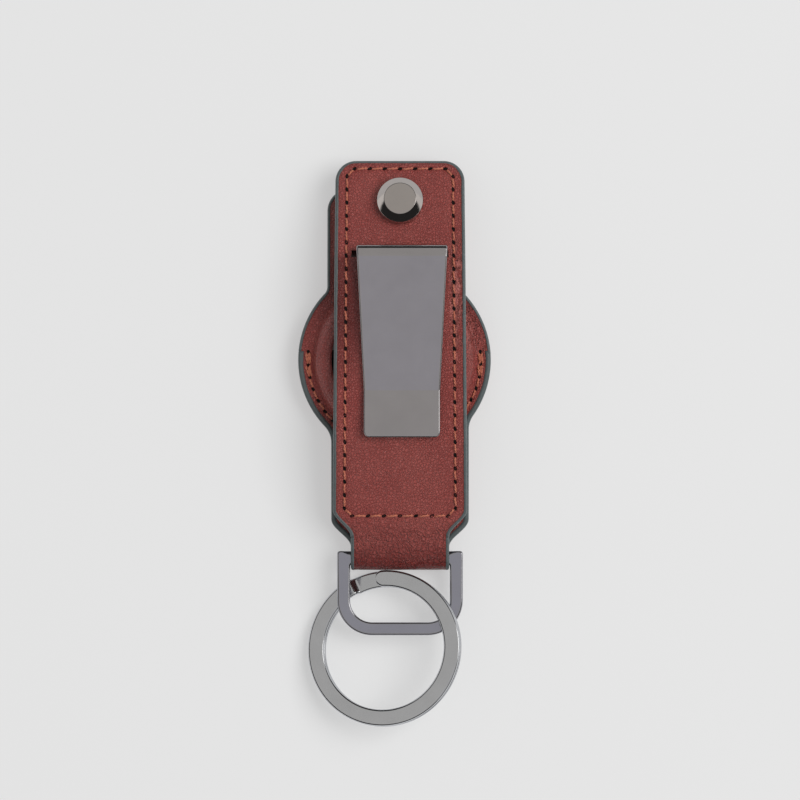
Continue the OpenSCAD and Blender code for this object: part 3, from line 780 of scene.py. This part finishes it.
# cut the pocket's mouth straight across and close the cut with painted edge
def cutMouth(obj, height):
    bm = bmesh.new()
    bm.from_mesh(obj.data)
    cut = bmesh.ops.bisect_plane(bm, geom=bm.verts[:] + bm.edges[:] + bm.faces[:], dist=cutReach,
                                 plane_co=(0, height * mm, 0), plane_no=(0, 1, 0), clear_outer=True)
    edges = [e for e in cut["geom_cut"] if isinstance(e, bmesh.types.BMEdge)]
    for face in bmesh.ops.triangle_fill(bm, use_beauty=True, edges=edges)["geom"]:
        if isinstance(face, bmesh.types.BMFace):
            face.material_index = panelMaterials.index(edgePaint)
            face.smooth = False
    bmesh.ops.remove_doubles(bm, verts=bm.verts, dist=cutReach)
    bmesh.ops.recalc_face_normals(bm, faces=bm.faces)
    bm.to_mesh(obj.data)
    bm.free()


rearShape = spokeShell(rearOutline, domeRadii, rearTop, rearUnder, True)
rearLeather = makePiece("rear_panel_leather", rearShape, *panelMaterials)
darkInside(rearLeather, -1)
setRim(rearLeather, rearOutline, pocketRim)
dress(rearLeather, "rear_strap", "rear_panel", strapSharp)

pocketShape = spokeShell(pocketOutline, bowlRadii, pocketTop, pocketUnder, False)
pocketLeather = makePiece("pocket_panel_leather", pocketShape, *panelMaterials)
darkInside(pocketLeather, 1)
cutMouth(pocketLeather, rear["mouth"])
setRim(pocketLeather, pocketOutline, pocketRim)
dress(pocketLeather, "rear_strap", "pocket_panel", 50)

# below the mouth one bead covers both leathers, above it only the panel
belowMouth = [p for p in rearOutline if p[1] <= rear["mouth"]]
aboveMouth = [p for p in rearOutline if p[1] >= rear["mouth"] - 0.7]
split = next(i for i in range(1, len(belowMouth)) if belowMouth[i][0] < 0 < belowMouth[i - 1][0])
rearBeads = [paintBead(belowMouth[:split], pocketLow, panelTop, paint["rearMore"]),
             paintBead(aboveMouth, seamHeight, lambda y: panelTop(y) - paint["seamGap"], paint["upperMore"]),
             paintBead(belowMouth[split:], pocketLow, panelTop, paint["rearMore"])]
dress(makePiece("rear_strap_edge_paint", joined(rearBeads), edgePaint), "rear_strap")
print("pocket made")

# the fold: one strip of skin from the front neck round the bar to the pocket panel
fold = {
    "half": 10.15, "steps": 26, "edgeRadius": 0.3, "groove": 0.11, "grooveIn": 1.5, "grooveRun": 0.3,
    "rimReach": 0.9, "sharp": 60}


# its inner and outer face in side view, from the bar's middle
def foldSides():
    frontRun, frontZ = neckEnd - bar["y"], underside(neckEnd) + skinLift - bar["z"]
    rearRun, rearZ = rearNeckEnd - bar["y"], bar["z"] - seamHeight(rearNeckEnd)
    sides = []
    for past in (0.0, strap["skin"]):
        r = bar["sleeve"]
        side = [(frontRun * k, mix(r, frontZ, k) + past) for k in spread(1, 0, 10)]
        side += arc(0, 0, r + past, quarterTurn, 3 * quarterTurn, fold["steps"])[1:-1]
        side += [(rearRun * k, -mix(r, rearZ, k) - past) for k in spread(0, 1, 6)]
        for _ in range(3):
            threes = zip(side, side[1:], side[2:])
            side[1:-1] = [[(a[j] + 2 * b[j] + c[j]) / 4 for j in (0, 1)] for a, b, c in threes]
        sides.append(side)
    return sides


innerSide, outerSide = foldSides()
foldEnds = (0, 0.03, 0.09, 0.18, 0.3, 0.6)
foldX = [d - fold["half"] for d in foldEnds] + spread(1.2 - fold["half"], fold["half"] - 1.2, 26)
foldX += [fold["half"] - d for d in foldEnds[::-1]]


def foldShape():
    upper, lower = [], []
    for (iy, iz), (oy, oz) in zip(innerSide, outerSide):
        length = math.hypot(oy - iy, oz - iz)
        for x in foldX:
            d = fold["half"] - abs(x)
            groove = fold["groove"] * bell(d - fold["grooveIn"], fold["grooveRun"])
            t = 1 - (edgeDrop(d, fold["edgeRadius"]) + groove) / length
            upper.append((x, bar["y"] + mix(iy, oy, t), bar["z"] + mix(iz, oz, t)))
            lower.append((x, bar["y"] + iy, bar["z"] + iz))
    return closeGrid(upper, lower, len(foldX))


# paint along one edge of the fold, as places outwards and shares of the skin
def foldBead(side):
    over, proud = paint["over"], paint["proud"]
    profile = [(-over, 0.97), (-over + 0.05, 1.05), (-0.1, 0.98), (proud * 0.6, 0.72), (proud, 0.5),
               (proud * 0.6, 0.28), (-0.1, 0.02), (-over + 0.05, -0.05), (-over, 0.03), (-over * 1.1, 0.5)]
    points = [(side * (fold["half"] + out), bar["y"] + mix(iy, oy, t), bar["z"] + mix(iz, oz, t))
              for (iy, iz), (oy, oz) in zip(innerSide, outerSide) for out, t in profile]
    return points, tubeFaces(len(innerSide), len(profile))


strapFold = makePiece("strap_fold_leather", foldShape(), outerLeather)
foldPaint = makePiece("strap_fold_edge_paint", joined([foldBead(-1), foldBead(1)]), edgePaint)
setRim(strapFold, [(-fold["half"], -50), (-fold["half"], 0)], fold["rimReach"])
creaseBy(strapFold, fold["sharp"])
for piece in (strapFold, foldPaint):
    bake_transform(piece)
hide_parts("strap_loop")
print("fold made")

# the inputs of the stitches' node tree and their values
stitchInputs = {
    "Stitch Length": ("Float", stitch["pitch"] * mm), "Thread Size": ("Float", stitch["thread"] * mm),
    "Twist Turns": ("Float", stitch["turns"]), "Rise": ("Float", stitch["rise"] * mm),
    "Sink": ("Float", stitch["sink"] * mm), "Slant": ("Float", stitch["slant"]),
    "Seed": ("Int", stitch["seed"]), "Thread Material": ("Material", topThread)}


# a node tree lays one twisted stitch on every point, along its own direction
def stitchTree():
    group = bpy.data.node_groups.new("stitch row", "GeometryNodeTree")
    group.interface.new_socket("Geometry", in_out="INPUT", socket_type="NodeSocketGeometry")
    for name, (kind, value) in stitchInputs.items():
        group.interface.new_socket(name, in_out="INPUT", socket_type="NodeSocket" + kind)
    group.interface.new_socket("Geometry", in_out="OUTPUT", socket_type="NodeSocketGeometry")
    t = Tree(group)
    given = t.add("NodeGroupInput").outputs

    def upwards(value):
        return t.out("ShaderNodeCombineXYZ", {"Z": value})

    def moved(geometry, **change):
        return t.out("GeometryNodeTransform", {"Geometry": geometry, **change})

    def drawn(low, high):
        inputs = {"Min": low, "Max": high, "Seed": given["Seed"]}
        return t.out("FunctionNodeRandomValue", inputs, data_type="FLOAT_VECTOR")

    def stored(name, kind="FLOAT_VECTOR"):
        return t.out("GeometryNodeInputNamedAttribute", {"Name": name}, data_type=kind)

    plyRadius = t.times(given["Thread Size"], stitch["ply"])
    spiral = t.out("GeometryNodeCurveSpiral",
                   {"Resolution": 9, "Rotations": given["Twist Turns"], "Start Radius": plyRadius,
                    "End Radius": plyRadius, "Height": given["Stitch Length"]})
    strandRadius = t.times(given["Thread Size"], stitch["strand"])
    circle = {"Resolution": 7, "Radius": strandRadius}
    profile = t.out("GeometryNodeCurvePrimitiveCircle", circle, mode="RADIUS")
    strand = t.out("GeometryNodeCurveToMesh", {"Curve": spiral, "Profile Curve": profile, "Fill Caps": True})
    first = moved(strand, Translation=upwards(t.times(given["Stitch Length"], -0.5)))
    second = moved(first, Rotation=(0, 0, math.pi))
    pair = t.add("GeometryNodeJoinGeometry")
    for half in (first, second):
        group.links.new(half, pair.inputs[0])
    lying = moved(pair.outputs[0], Rotation=(0, quarterTurn, 0))
    # the stitch arches: it rises in its middle and sinks into the leather at both ends
    lengthways = t.out("ShaderNodeSeparateXYZ", {0: t.out("GeometryNodeInputPosition")})
    share = t.math("DIVIDE", lengthways, t.times(given["Stitch Length"], 0.5))
    cubed = t.math("POWER", t.math("ABSOLUTE", share), 3.0)
    drop = t.times(cubed, t.math("ADD", given["Rise"], given["Sink"]))
    lift = upwards(t.math("SUBTRACT", given["Rise"], drop))
    arched = t.out("GeometryNodeSetPosition", {"Geometry": lying, "Offset": lift})
    turned = t.out("FunctionNodeAxesToRotation", {0: stored("along"), 1: stored("upward")},
                   primary_axis="X", secondary_axis="Z")
    slanted = t.vector("ADD", drawn((-0.25, -0.06, -0.07), (0.25, 0.06, 0.07)), upwards(given["Slant"]))
    roll = t.out("FunctionNodeEulerToRotation", {0: slanted})
    rolled = t.out("FunctionNodeRotateRotation", {0: turned, 1: roll}, rotation_space="LOCAL")
    stretch = t.out("ShaderNodeCombineXYZ", {"X": stored("longer", "FLOAT"), "Y": 1.0, "Z": 1.0})
    scale = t.vector("MULTIPLY", drawn((0.98, 0.9, 0.9), (1.02, 1.1, 1.08)), stretch)
    laid = t.out("GeometryNodeInstanceOnPoints",
                 {"Points": given["Geometry"], "Instance": arched, "Rotation": rolled, "Scale": scale})
    real = t.out("GeometryNodeRealizeInstances", {"Geometry": laid})
    smooth = t.out("GeometryNodeSetShadeSmooth", {"Geometry": real})
    dressed = t.out("GeometryNodeSetMaterial", {"Geometry": smooth, "Material": given["Thread Material"]})
    t.add("NodeGroupOutput", {0: dressed})
    return group


stitchNodes = stitchTree()


def sewRow(name, runs, heightAt, up):
    places, along, upward, longer = [], [], [], []
    for a, b in runs:
        start, end = Vector((*a, heightAt(a[1]))), Vector((*b, heightAt(b[1])))
        run = (end - start).normalized()
        places.append((start + end) / 2 * mm)
        along.append(run)
        upward.append(run.cross(Vector((0, 0, up)).cross(run)))
        longer.append((end - start).length / stitch["pitch"] * stitch["shown"])
    mesh = bpy.data.meshes.new(name + " points")
    mesh.from_pydata(places, [], [])
    for key, values in (("along", along), ("upward", upward)):
        attribute = mesh.attributes.new(key, "FLOAT_VECTOR", "POINT")
        attribute.data.foreach_set("vector", [c for v in values for c in v])
    mesh.attributes.new("longer", "FLOAT", "POINT").data.foreach_set("value", longer)
    source = linked(name + " points", mesh)
    modifier = source.modifiers.new("stitches", "NODES")
    modifier.node_group = stitchNodes
    for item in stitchNodes.interface.items_tree:
        if item.in_out == "INPUT" and item.name in stitchInputs:
            modifier[item.identifier] = stitchInputs[item.name][1]
    source.update_tag()
    graph = bpy.context.evaluated_depsgraph_get()
    plain = bpy.data.meshes.new_from_object(source.evaluated_get(graph), depsgraph=graph)
    bpy.data.objects.remove(source)
    plain.name = name
    return linked(name, plain)


def pairs(line):
    return list(zip(line[:-1], line[1:]))


# the thread is locked by a second pass over the first two stitches at each end of the pocket
def backStitches(line):
    extra = []
    for run in (line[:3], line[::-1][:3]):
        for a, b in pairs(run):
            tx, ty = ((b[j] - a[j]) * stitch["lockReach"] for j in (0, 1))
            dx, dy = directionAt((a, b), 0)
            for out in (-stitch["lockWidth"], stitch["lockWidth"]):
                extra.append(((a[0] + dy * out - tx, a[1] - dx * out - ty),
                              (b[0] + dy * out * 0.6 + tx, b[1] - dx * out * 0.6 + ty)))
    return extra


pocketRuns = pairs(pocketLine) + backStitches(pocketLine)
threadRows = (("front_strap_stitches", pairs(frontLine), frontTop, 1, "front_strap", "front_needle_thread"),
              ("front_lining_stitches", pairs(frontLine), underside, -1, "front_strap", "front_bobbin_thread"),
              ("pocket_seam_stitches", pocketRuns, panelTop, 1, "rear_strap", "pocket_needle_thread"),
              ("pocket_under_stitches", pocketRuns, pocketLow, -1, "rear_strap", "pocket_bobbin_thread"))
for name, runs, heightAt, up, body, solid in threadRows:
    dress(sewRow(name, runs, heightAt, up), body, solid)


# awl holes: a slanted oval sunk at each end of a stitch, closed underneath, in a near-black tone that is
# painted shade
def awlHoles(name, line, heightAt, body):
    points, faces = [], []
    n = hole["around"]
    for i, (x, y) in enumerate(line):
        tx, ty = directionAt(line, i)
        lean = math.atan2(ty, tx) + hole["slant"]
        cos, sin = math.cos(lean), math.sin(lean)
        slope = (heightAt(y + 0.1) - heightAt(y - 0.1)) / 0.2
        base = len(points)
        for ring, deep in hole["levels"]:
            for angle in spread(0, 2 * math.pi, n)[:-1]:
                u, v = ring * hole["length"] * math.cos(angle), ring * hole["width"] * math.sin(angle)
                px, py = x + u * cos - v * sin, y + u * sin + v * cos
                points.append((px, py, heightAt(y) + slope * (py - y) - deep))
        points += [(x, y, heightAt(y) - stitch["dip"] - deeper) for deeper in hole["deeper"]]
        for a in range(base, base + n):
            b = base + (a - base + 1) % n
            faces += [(a, b, b + n, a + n), (a + n, b + n, base + 2 * n), (b, a, base + 2 * n + 1)]
    dress(makePiece(name, (points, faces), holeShade, merge=False), body)


awlHoles("front_strap_awl_holes", frontLine[:-1], frontTop, "front_strap")
awlHoles("pocket_awl_holes", pocketLine, panelTop, "rear_strap")
print("stitches made")

# snap: turned pieces on the axis square to the sloped strap
snap = {
    "y": 32.15, "tilt": 13.8, "capRadius": 4.8, "capTop": 3.3, "capHeight": 3.2, "capSide": 1.9,
    "round": 0.09, "socketRadius": 4.7, "studRadius": 2.0, "post": 1.4, "rim": 0.5, "floor": 0.6,
    "wire": 0.4, "restGap": 0.3, "snug": 0.05, "around": 72, "sharp": 40}
snapTilt = math.radians(snap["tilt"])
snapPlace = Matrix.Translation((0, snap["y"], underside(snap["y"]))) @ Matrix.Rotation(-snapTilt, 4, "X")
slopeCos = math.cos(snapTilt)
tabSeam = rear["seam"] - rear["topFall"] * (snap["y"] - rear["discRadius"])
snapGap = (underside(snap["y"]) - tabSeam - rear["panel"]) * slopeCos
socketHeight = snapGap - snap["rim"] - snap["restGap"]


# rounds the corners of a profile before it is turned
def softProfile(corners, radius, steps=4):
    out = []
    for i, p in enumerate(corners):
        if i in (0, len(corners) - 1) or p[0] < 1e-6:
            out.append(p)
            continue
        before, here, after = (Vector(corners[j]) for j in (i - 1, i, i + 1))
        r = min(radius, (before - here).length * 0.45, (after - here).length * 0.45)
        start, end = here + (before - here).normalized() * r, here + (after - here).normalized() * r
        out += [tuple((1 - t) ** 2 * start + 2 * t * (1 - t) * here + t * t * end) for t in spread(0, 1, steps)]
    return out


def snapPiece(name, solid, body, material, radius, corners):
    profile, points = softProfile(corners, radius), []
    for a in spread(0, 2 * math.pi, snap["around"])[:-1]:
        points += placed(snapPlace, [(r * math.cos(a), r * math.sin(a), z) for r, z in profile])
    shape = points, gridFaces(snap["around"], len(profile), rowsClosed=True)
    dress(makePiece(name, shape, material), body, solid, snap["sharp"])


capFoot = strapThick * slopeCos
capTop = capFoot + snap["capHeight"]
snapPiece("snap_cap_chamfered", "snap_cap", "front_strap", capMetal, snap["round"],
          [(0, capTop - 0.04), (snap["capTop"] - 0.5, capTop - 0.01), (snap["capTop"], capTop),
           (snap["capRadius"], capFoot + snap["capSide"]), (snap["capRadius"], capFoot - snap["snug"]),
           (snap["post"], capFoot - snap["snug"]), (snap["post"], -snap["floor"]), (0, -snap["floor"])])

bore = snap["studRadius"] + 2 * snap["restGap"]
socketSide, postHole = bore + 2 * snap["rim"], snap["post"] + snap["snug"]
snapPiece("snap_socket_steel", "snap_socket", "front_strap", snapSteel, 0.12,
          [(postHole, 0.0), (snap["socketRadius"], 0.0), (snap["socketRadius"], -snap["rim"]),
           (socketSide, -snap["rim"] - 0.15), (socketSide, -socketHeight), (bore, -socketHeight),
           (bore, -snap["floor"] - snap["snug"]), (postHole, -snap["floor"] - snap["snug"]), (postHole, 0.0)])

neckRadius, flange = snap["studRadius"] - snap["wire"] / 2, snap["socketRadius"] - snap["rim"]
headLow = snap["rim"] + snap["restGap"] + 2 * snap["wire"] - snapGap
headHigh = snap["rim"] + socketHeight - snap["floor"] - snap["restGap"] - snapGap
snapPiece("snap_stud_steel", "snap_stud", "rear_strap", snapSteel, 0.16,
          [(0, headHigh), (snap["studRadius"], headHigh), (snap["studRadius"], headLow),
           (neckRadius, headLow - 0.2), (neckRadius, snap["rim"] - snapGap), (flange, snap["rim"] - snapGap),
           (flange, -snapGap), (0, -snapGap)])

postTop = -snapGap - rear["panel"] * slopeCos
postFoot = postTop - snap["rim"]
snapPiece("snap_post_steel", "snap_post", "rear_strap", snapSteel, 0.1,
          [(0, 0.1 - snapGap), (snap["post"], 0.1 - snapGap), (snap["post"], postTop), (flange, postTop),
           (flange - 0.05, postTop - 0.3), (flange - 0.7, postFoot), (1.1, postFoot + 0.04),
           (0.9, postFoot + 0.2), (0, postFoot + 0.22)])

spring = {"around": 10, "steps": 60, "turn": 330}


# open spring ring inside the socket
def springRing():
    half, points = snap["wire"] / 2, []
    radius, height = bore - half - snap["snug"], snap["wire"] - socketHeight
    for a in spread(0, math.radians(spring["turn"]), spring["steps"]):
        section = arc(radius, height, half, 0, 2 * math.pi, spring["around"])[:-1]
        points += placed(snapPlace, [(r * math.cos(a), r * math.sin(a), z) for r, z in section])
    return points, tubeFaces(spring["steps"] + 1, spring["around"])


dress(makePiece("snap_spring_wire", springRing(), snapSteel), "front_strap", "snap_spring")
print("snap made")

# clip: one sheet of spring steel, from the buried plate up through the slit and down to the lip
clip = {
    "x": 0.4, "topY": 23.9, "lipY": -16.1, "creaseY": -6.35, "topWidth": 19.0, "lowWidth": 15.9,
    "sheet": 0.9, "riserY": 22.05, "turnRadius": 0.6, "strip": 2.35, "stripTilt": 16.0, "lipHeight": 2.2,
    "lift": 0.95, "gap": 0.35, "anchorEnd": 1.5, "corner": 1.2, "edge": 0.4, "riserBend": 1.0}
skinTop = strap["underside"] + strapThick


# a straight run with close points at both ends, so that a crease stays crisp
def crisp(a, b, count):
    shares = [0.006] + spread(0, 1, count)[1:-1] + [0.994, 1.0]
    return [(mix(a[0], b[0], t), mix(a[1], b[1], t)) for t in shares]


def plateHeight(y):
    return underside(y) + strap["lining"] + clip["sheet"] / 2 - 0.05


# the middle of the sheet in side view, and the height of its flexing bend
def clipPath():
    riser, turn, tilt = clip["riserY"], clip["turnRadius"], math.radians(clip["stripTilt"])
    bulge, half, bend = clip["topY"] - clip["sheet"] / 2, clip["sheet"] / 2, clip["riserBend"]
    start = (clip["topY"] - clip["strip"], skinTop + clip["lift"] + half + clip["gap"] / 2)
    stripRun = bulge - turn + turn * math.sin(tilt) - start[0]
    high = start[1] - stripRun * math.tan(tilt) - turn * math.cos(tilt)
    path = [(y, plateHeight(y)) for y in spread(clip["anchorEnd"], riser - bend, 14)]
    path += arc(riser - bend, path[-1][1] + bend, bend, -quarterTurn, 0, 5)[1:]
    path += [(riser, mix(path[-1][1], high - 2 * turn, t)) for t in (0.5, 1.0)]
    path += arc(riser + turn, high - 2 * turn, turn, math.pi, quarterTurn, 6)[1:]
    path += arc(bulge - turn, high, turn, -quarterTurn, quarterTurn - tilt, 12)
    crease = (clip["creaseY"], skinTop + clip["gap"] + half)
    lip = (clip["lipY"], skinTop + clip["lipHeight"] - half)
    path += crisp(path[-1], start, 6) + crisp(start, crease, 40) + crisp(crease, lip, 22)
    return path, high - turn


def clipHalf(y, z, hingeZ):
    if z < hingeZ - 0.6:
        return clip["topWidth"] / 2
    share = min(1.0, max(0.0, (clip["topY"] - y) / (clip["topY"] - clip["creaseY"])))
    past = max(0.0, clip["lipY"] + clip["corner"] - y)
    rounding = clip["corner"] - math.sqrt(max(0.0, clip["corner"] ** 2 - past ** 2))
    return mix(clip["topWidth"], clip["lowWidth"], share) / 2 - rounding


def clipSheet():
    path, hingeZ = clipPath()
    (ay, az), (by, bz) = path[-1], path[-2]
    steps = (0.9, 0.6, 0.45, 0.4, 0.27, 0.17, 0.09, 0.03, 0.0)
    tail = [(ay + d, az + (bz - az) * d / (by - ay)) for d in steps]
    path = [p for p in path if p[0] > clip["lipY"] + 1.1 or p[1] < hingeZ] + tail
    wide, edges = clip["topWidth"], (0, 0.03, 0.09, 0.17, 0.27, clip["edge"], 0.45)
    columns = [*edges, *spread(1.2, wide - 1.2, 22), *(wide - d for d in edges[::-1])]
    upper, lower = [], []
    for i, (y, z) in enumerate(path):
        ty, tz = directionAt(path, i)
        half, endGap = clipHalf(y, z, hingeZ), math.dist((y, z), path[-1])
        for c in columns:
            d = min(c, wide - c)
            x = (c / wide * 2 - 1) * half if d >= 1.0 else (d - half if c < wide / 2 else half - d)
            thick = clip["sheet"] / 2 - edgeDrop(min(d, endGap), clip["edge"])
            upper.append((clip["x"] + x, y + tz * thick, z - ty * thick))
            lower.append((clip["x"] + x, y - tz * thick, z + ty * thick))
    return closeGrid(upper, lower, len(columns))


beltClip = makePiece("belt_clip", clipSheet(), clipMetal)
creaseBy(beltClip, 50)
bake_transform(beltClip)
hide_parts("clip_leaf", "clip_anchor")
print("clip made")

wireSharp = 60


# cross-section of flat wire: rounded corners, each held by a close point on either side
def wireSection(wide, tall, radius, steps=3, hold=0.05):
    out = []
    right, top = wide - radius, tall - radius
    for turn, (u, v) in enumerate(((right, top), (radius, top), (radius, radius), (right, radius))):
        start = turn * quarterTurn
        corner = arc(u, v, radius, start, start + quarterTurn, steps)
        cos, sin = hold * math.cos(start), hold * math.sin(start)
        out += [(corner[0][0] + sin, corner[0][1] - cos), *corner, (corner[-1][0] - cos, corner[-1][1] - sin)]
    return out


# D-ring: square wire with soft edges, rounder where it turns in the fold
dee = {
    "inside": 20.8, "wire": 2.7, "length": 14.85, "corner": 7.3, "topRadius": 0.5, "lean": 1.5,
    "edge": 0.42, "barEdge": 1.1}


# half of an outline, mirrored; past is how far it lies outside the wire's middle line
def deeOutline(past):
    half, low = dee["inside"] / 2 + dee["wire"] / 2 + past, dee["corner"] - dee["wire"] / 2 + past
    bottom, topRadius = -dee["length"] - past, dee["topRadius"]
    right = arc(half - low, bottom + low, low, -quarterTurn, 0, 18)
    right += [(half, y) for y in spread(bottom + low, past - topRadius, 8)[1:-1]]
    right += arc(half - topRadius, past - topRadius, topRadius, 0, quarterTurn, 4)
    barX = [half - topRadius - 0.35] + [share * dee["inside"] / 2 for share in (0.985, 0.8, 0.4, 0.0)]
    right += [(min(x, half - topRadius - 0.1), past) for x in barX]
    return right + [(-x, y) for x, y in right[::-1][1:]]


def deeRing():
    h, points = dee["wire"] / 2, []
    outside, inside = deeOutline(h), deeOutline(-h)
    place = Matrix.Translation((0, bar["y"], bar["z"])) @ Matrix.Rotation(-math.radians(dee["lean"]), 4, "X")
    for o, i in zip(outside, inside):
        inFold = abs(o[0]) < dee["inside"] / 2 and o[1] > 0
        deep = math.dist(o, i)
        section = wireSection(deep, dee["wire"], min(dee["barEdge" if inFold else "edge"], deep * 0.45))
        points += placed(place, [(mix(o[0], i[0], u / deep), mix(o[1], i[1], u / deep), v - h)
                                 for u, v in section])
    return points, tubeFaces(len(outside), len(section), closed=True)


dress(makePiece("d_ring_wire", deeRing(), deeMetal), "dee", "d_ring", wireSharp)

# key ring: two turns of flat wire, joined by a short climb; angles in degrees
keys = {
    "radius": 16.35, "width": 3.45, "height": 2.4, "gap": 0.05, "place": (-3.2, -60.1, 5.90475),
    "lean": 17.0, "leanToward": 330.0, "end": 97.6, "lap": 19.0, "innerBack": 9.0, "climb": 5.0,
    "climbShift": 0.5, "edge": 0.44, "endEdge": 0.5, "endRadius": 1.35, "narrowing": 0.92, "steps": 420}


def keyCoil():
    wire = (keys["height"] - keys["gap"]) / 2
    last = keys["end"] + keys["lap"]
    start, stop = last + keys["innerBack"], last + 2 * 360 - keys["lap"]
    axis = math.radians(keys["leanToward"] - 90)
    lean = Matrix.Rotation(math.radians(keys["lean"]), 4, Vector((math.cos(axis), math.sin(axis), 0)))
    place = Matrix.Translation(keys["place"]) @ lean
    reach = math.degrees(keys["endRadius"] / (keys["radius"] - keys["width"] / 2))
    ends = (0.0, 0.03, 0.1, 0.22, 0.4, 0.6, 0.8)
    angles = [*(start + reach * t for t in ends), *spread(start + reach, stop - reach, keys["steps"]),
              *(stop - reach * t for t in ends[::-1])]
    points = []
    for angle in angles:
        up = smoothStep((angle - last - 360 - keys["climbShift"]) / keys["climb"] + 0.5)
        low = mix(-keys["height"] / 2, keys["height"] / 2 - wire, up)
        toEnd, a = min(angle - start, stop - angle) / reach, math.radians(angle)
        narrow = edgeDrop(min(1.0, toEnd), 1.0) * keys["endRadius"] * keys["narrowing"]
        inner, wide = keys["radius"] - keys["width"] + narrow, keys["width"] - 2 * narrow
        edge = min(mix(keys["endEdge"], keys["edge"], smoothStep(toEnd - 0.6)), wide * 0.4)
        section = wireSection(wide, wire, edge)
        cos, sin = math.cos(a), math.sin(a)
        points += placed(place, [((inner + u) * cos, (inner + u) * sin, low + v) for u, v in section])
    return points, tubeFaces(len(angles), len(section))


dress(makePiece("key_ring_coil", keyCoil(), ringMetal), "keys", "key_ring", wireSharp)
print("rings made")

# floor, light and camera; colours of light may pass 1
studio = {
    "floor": 4.0, "floorTone": (178, 178, 178), "glow": 0.41, "glowFrom": -5.0, "glowTo": -2.0,
    "lens": 300.0, "sensor": 36.0, "middleY": -8.33, "view": 166.67, "focusHeight": 7.0, "sky": 0.52,
    "tent": (0.8, 0.8, 0.8, 1), "keyPower": 28.8, "keyPlace": (1.25, 0.335, 1.78), "keySize": 1.49,
    "zenith": (1.13, 1.12, 1.18, 1), "top": (1.14, 1.11, 1.06, 1), "band": (0.06, 0.06, 0.06, 1),
    "near": (0.05, 0.05, 0.05, 1), "sides": (1.85, 1.82, 1.78, 1), "lamp": (0.7, 0.25, 0.67),
    "lampTone": (6.0, 5.9, 5.7, 1)}
edge = studio["floor"] / 2
floorMesh = bpy.data.meshes.new("floor")
floorMesh.from_pydata([(-edge, -edge, 0), (edge, -edge, 0), (edge, edge, 0), (-edge, edge, 0)], [],
                      [(0, 1, 2, 3)])
floor = linked("floor", floorMesh)
pale = Finish("pale floor")
# painted shade: the floor glows evenly except under the pocket, where its glow is cut so the floor seen through
# the window stays dark
discMiddle = (rear["discX"] * mm, 0, 0)
underPocket = pale.add("ShaderNodeVectorMath", {0: pale.place, 1: discMiddle}, operation="DISTANCE")
glow = pale.between(underPocket.outputs["Value"], (rear["discRadius"] + studio["glowFrom"]) * mm,
                    (rear["discRadius"] + studio["glowTo"]) * mm, 0.0, studio["glow"])
pale.shade(Base_Color=tone(*studio["floorTone"]), Roughness=0.85, Specular_IOR_Level=0.0,
           Emission_Color=(1, 1, 1, 1), Emission_Strength=glow)
floorMesh.materials.append(pale.material)

scene.world = bpy.data.worlds.new("studio")
scene.world.use_nodes = True
sky = Tree(scene.world.node_tree)


def fade(value, low, high, a, b):
    return sky.blend(sky.between(value, low, high, interpolation_type="SMOOTHSTEP"), a, b)


# what metal mirrors: a pale tent overhead, a dark band below it, pale walls left and right, and
# dark card near and far
direction = sky.add("ShaderNodeTexCoord").outputs["Generated"]
way = sky.add("ShaderNodeSeparateXYZ", {0: direction}).outputs
toLamp = sky.add("ShaderNodeVectorMath", {0: direction, 1: studio["lamp"]}, operation="DOT_PRODUCT")
tent = fade(way["Z"], 0.982, 0.996, studio["top"], studio["zenith"])
walls = fade(sky.math("ABSOLUTE", way["X"]), 0.5, 0.78, studio["near"], studio["sides"])
low = fade(way["Z"], 0.27, 0.18, studio["band"], walls)
lamp = fade(toLamp.outputs["Value"], 0.95, 0.985, low, studio["lampTone"])
mirrored = fade(way["Z"], 0.7, 0.8, lamp, tent)
glossy = sky.add("ShaderNodeLightPath").outputs["Is Glossy Ray"]
backdrop = sky.tree.nodes["Background"]
sky.feed(backdrop.inputs["Color"], sky.blend(glossy, studio["tent"], mirrored))
backdrop.inputs["Strength"].default_value = studio["sky"]

keyLight = linked("key light", bpy.data.lights.new("key light", "AREA"))
keyLight.data.shape = "RECTANGLE"
keyLight.data.size = keyLight.data.size_y = studio["keySize"]
keyLight.data.energy = studio["keyPower"]
keyLight.location = studio["keyPlace"]
keyLight.rotation_mode = "QUATERNION"
keyLight.rotation_quaternion = (-Vector(studio["keyPlace"])).to_track_quat("-Z", "Y")
keyLight.visible_glossy = keyLight.visible_camera = False

camera = linked("camera", bpy.data.cameras.new("camera"))
camera.data.lens, camera.data.sensor_width = studio["lens"], studio["sensor"]
camera.data.clip_start, camera.data.clip_end = 0.05, 20.0
distance = studio["view"] * studio["lens"] / studio["sensor"]
camera.location = (0, studio["middleY"] * mm, (distance + studio["focusHeight"]) * mm)
scene.camera = camera
scene.view_settings.view_transform = "Standard"
scene.view_settings.look = "None"
